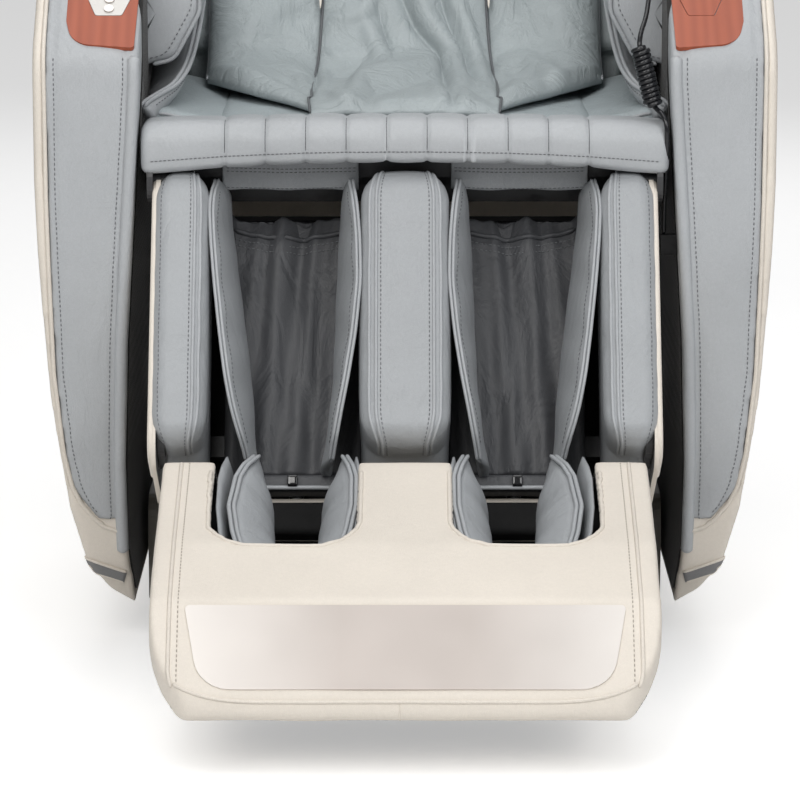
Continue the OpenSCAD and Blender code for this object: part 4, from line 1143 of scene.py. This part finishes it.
for tag, k in sides.items():
    a, b = sorted((44 * k, 183 * k))
    lining = extruded("channelLining" + tag, inLeg, rounded([[92, -284, 1], [96, -284, 1], [96, -6, 1],
        [92, -6, 1]]), a, b, "lining", "leg_rest", "dark_lining", step=2.6,
                      end=1.0, xs=np.arange(a + 2, b - 1, 3.0), shape=liningShape, slump=1.4)
    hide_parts("calf_linings")
    bar = extruded("channelBar" + tag, inLeg, rounded([[74, -306, 6], [96, -306, 2], [96, -288, 2],
        [74, -288, 6]]), a, b, "lining", "leg_rest", "dark_lining", step=2.2, end=2.0, slump=0.6)
    tube("channelEdgeWelt" + tag, inLeg, [(x, 72.5, -303.5) for x in np.linspace(a + 1, b - 1, 30)], 2.3,
        "welt", "leg_rest")
    clip = extruded("channelClip" + tag, inLeg, rounded([[67, -303, 2], [75, -303, 1], [75, -291, 1],
        [67, -291, 2]]), *(sorted((108 * k, 118 * k))), "black", "leg_rest", "dark_lining", step=1.5, end=1.2)
    hem = [(x * k, 91, -26 - 12 * bulge(x, 113, 66)) for x in np.linspace(50, 177, 40)]
    for dz in (0, 7):
        stitches("channelHem" + str(dz) + tag, inLeg, onto(lining, inLeg, np.array(hem) - (0, 0, dz), 0.3),
            "thread", "leg_rest", pitch=4.8)
    tube("channelTop" + tag, inLeg, onto(lining, inLeg, np.array(hem) + (0, 0, 9), 0.8), 2.8, "lining",
        "leg_rest", smoothStep=5)
    for label, rows in leaves.items():
        leafFlap("calfFlap" + label + tag, rows, k)
print("leg rest")

# foot unit


def legPoint(y, z):
    c, s = math.cos(math.radians(30)), math.sin(math.radians(30))
    return 30 + y * c + z * s, 497 + z * c - y * s


footProfile = rounded([[*legPoint(-27, -308), 8], [-300, 198, 60], [-380, 163, 10], [-440, 91, 14],
    [-449, 64, 14], [-330, 44, 60], [-118, 44, 30], [*legPoint(126, -308), 8]], 8)
def footShape(co, no):     # soft skin, its lower front corners drawn in a little more
    p = local(inChair, co)
    low = np.clip((122 - p[:, 2]) / 75, 0, 1) * np.clip((np.abs(p[:, 0]) - 150) / 88, 0,
        1) * np.clip((-p[:, 1] - 280) / 90, 0, 1)
    out = co + no * (lumps(p, 60, 6.0) * 0.8 / 1000)[:, None]
    out[:, 0] -= np.sign(out[:, 0]) * 0.010 * low ** 1.4
    return out


footShell = eased("footShell", "foot_shell", "cream", "foot_rest", voxel=3.0, passes=14,
                  shape=footShape)
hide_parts("foot_shell")
# the foot wells' inner faces, more than 4.5 mm in from the outer faces, and the rear lip get the near-black
# cloth: painted shade in the wells
footShell.data.materials.append(looks["mesh"])
ringPoints = evenly(footProfile, 2, closed=True)
centres = local(inChair, [footShell.matrix_world @ p.center for p in footShell.data.polygons])
gaps = np.sqrt(((centres[:, None, 1:] - ringPoints[None, ::3]) ** 2).sum(2).min(1))


def cornerGap(x, y, reach, edge,
    radius):     # how far inside a rounded corner, reach and edge being the two sides
    dx, dy = np.abs(x) - (reach - radius), edge + radius - y
    return np.where((dx > 0) & (dy > 0), radius - np.hypot(dx, dy), np.minimum(reach - np.abs(x), y - edge))


depth = np.minimum(gaps, np.minimum(cornerGap(centres[:, 0], centres[:, 1], 238, -449, 60),
    cornerGap(centres[:, 0], centres[:, 2], 238, 44, 75)))
rearLip = (centres[:, 1] > -190) & (np.abs(centres[:, 0]) < 224) & (centres[:, 2] < 150) & (centres[:, 2] > 48)
for poly, d, lip in zip(footShell.data.polygons, depth, rearLip):
    if d > 4.5 or (lip and poly.normal.z > -0.3):
        poly.material_index = 1
upperProfile = evenly(np.array([q for q in footProfile if q[1] > 52 and q[0] < -150]), 4)


# padded flaps that hang from a foot well's rim towards its floor
def footFlap(name, xs, leans, k, depth=0.4, thick=4.6, welts=True):
    ys = np.linspace(-286, -118, 40)
    us = np.linspace(0, 1, 18)
    y = ys[:, None]
    rim = np.interp(-y, [110, 150, 300], [243, 240, 186])
    x = np.interp(ys, (-286, -262, -220, -170, -118), xs)[:, None]
    lean = np.interp(ys, (-286, -240, -190, -145, -118), leans)[:, None]
    curl = 1 - (1 - np.clip(us / depth, 0, 1)) ** 2
    x = x + lean * curl + 1.4 * np.sin(y / 11 + us * 3) * us
    z = rim - (rim - 104) * us
    middle = np.stack([x * k, np.tile(y, (1, len(us))), z], 2)
    half = np.tile(thick * (1 - (2 * us - 1) ** 4) + 1.0, (len(ys), 1))
    o = pillowSheet(name, inChair, middle, half, "greyFoot", "foot_rest")
    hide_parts("foot_flaps")
    for dx, label in ((-2.4, "A"), (2.4, "B")) if welts else ():
        tube(name + "Welt" + label, inChair, middle[:, 0] + (dx, 0, 1.2), 2.2, "welt", "foot_rest",
            smoothStep=4)


footFlaps = {
    "Outer": {"xs": (158, 163, 168, 163, 146), "leans": (-41, -39, -33, -21, -4)},
    "Inner": {"xs": (60, 55, 50, 50, 60), "leans": (30, 30, 28, 22, 6)},
    "LinerOuter": {"xs": (168, 178, 182, 182, 176), "leans": (-6, -8, -9, -9, -6), "depth": 0.3, "thick": 2.0,
        "welts": False},
    "LinerInner": {"xs": (54, 48, 45, 44, 48), "leans": (3, 4, 5, 5, 3), "depth": 0.3, "thick": 2.0,
        "welts": False},
}
for tag, k in sides.items():
    line = onto(footShell, inChair, [(k * 219, y, z + 3) for y, z in upperProfile if z > 88], 0.3)
    tube("footSideWelt" + tag, inChair, line, 2.0, "creamWelt", "foot_rest")
    line = onto(footShell, inChair, [(k * 211, y, z + 3) for y, z in upperProfile if z > 88], 0.3)
    stitches("footSideStitches" + tag, inChair, line, "threadCream", "foot_rest")
    mouth = rounded([[47, -170], [47, -300, 42], [186, -300, 42], [186, -170]], 10) * (k, 1)
    ring = onto(footShell, inChair, [(x, y, np.interp(-y, [150, 300, 380], [262, 205, 165])) for x,
        y in evenly(mouth, 3)], 0.0)
    tube("footMouthWelt" + tag, inChair, ring, 2.4, "creamWelt", "foot_rest")
    for label, settings in footFlaps.items():
        footFlap("footFlap" + label + tag, k=k, **settings)
lowerSeam = onto(footShell, inChair, [(x, -470, 82 + 14 * max(0,
    (abs(x) - 120) / 92) ** 3) for x in np.linspace(-214, 214, 120)], 0.2, towards=(0, 1, 0))
tube("footFrontWelt", inChair, lowerSeam, 1.9, "creamWelt", "foot_rest")
boxSeam = onto(footShell, inChair, [(-5, -480, z) for z in np.linspace(80, 62, 8)], 0.1, towards=(0, 1, 0))
tube("footBoxingSeam", inChair, boxSeam, 0.9, "creamWelt", "foot_rest")
print("foot unit")

# CAD nodes that stay visible
finish = {
    "steel": "seat_pan base_frame base_crossbars seat_side_plates seat_crossbars back_posts back_crossbars "
             "leg_side_plates leg_crossbars rockers massage_carriage control_box recline_actuator",
    "chrome": "carriage_track leg_guides foot_rods actuator_rod",
    "rubber": "base_feet transport_wheels cord_gland",
    "nylon": "rollers_upper rollers_lower foot_roller_front foot_roller_rear",
    "greyPlastic": "base_skirts rear_cover air_pumps tilt_gearmotors",
    "darkPlastic": "foot_sole",
    "black": "power_inlet handset_holder handset",
    "red": "power_switch",
    "silver": "foot_trim",
    "keyMetal": "key_power key_recline key_sit_up",
    "whitePlastic": "console_plates",
    "wood": "arm_trims charging_lid",
}
edges = {"arm_trims": 1.6, "charging_lid": 0.5, "console_plates": 0.7, "foot_trim": 1.4, "handset": 1.2,
    "handset_holder": 0.8, "rear_cover": 1.5, "base_skirts": 1.5, "foot_sole": 1.2,
         "key_power": 0.5, "key_recline": 0.5, "key_sit_up": 0.5, "power_inlet": 0.5, "power_switch": 0.8,
             "seat_pan": 1.0, "base_frame": 1.5}
for look, names in finish.items():
    for name in names.split():
        o = frame["nodes"][name]
        o.data.materials.clear()
        o.data.materials.append(looks[look])
        mod = o.modifiers.new("edges", "BEVEL")
        mod.width, mod.segments, mod.limit_method, mod.angle_limit = edges.get(name,
            0.6) / 1000, 3, "ANGLE", math.radians(40)
        mod.use_clamp_overlap = True

# floor
floor = bpy.data.objects.new("floor", bpy.data.meshes.new("floor"))
bpy.context.scene.collection.objects.link(floor)
floor.data.from_pydata([(-60, -60, 0), (60, -60, 0), (60, 60, 0), (-60, 60, 0)], [], [(0, 1, 2, 3)])
floor.data.materials.append(looks["floor"])
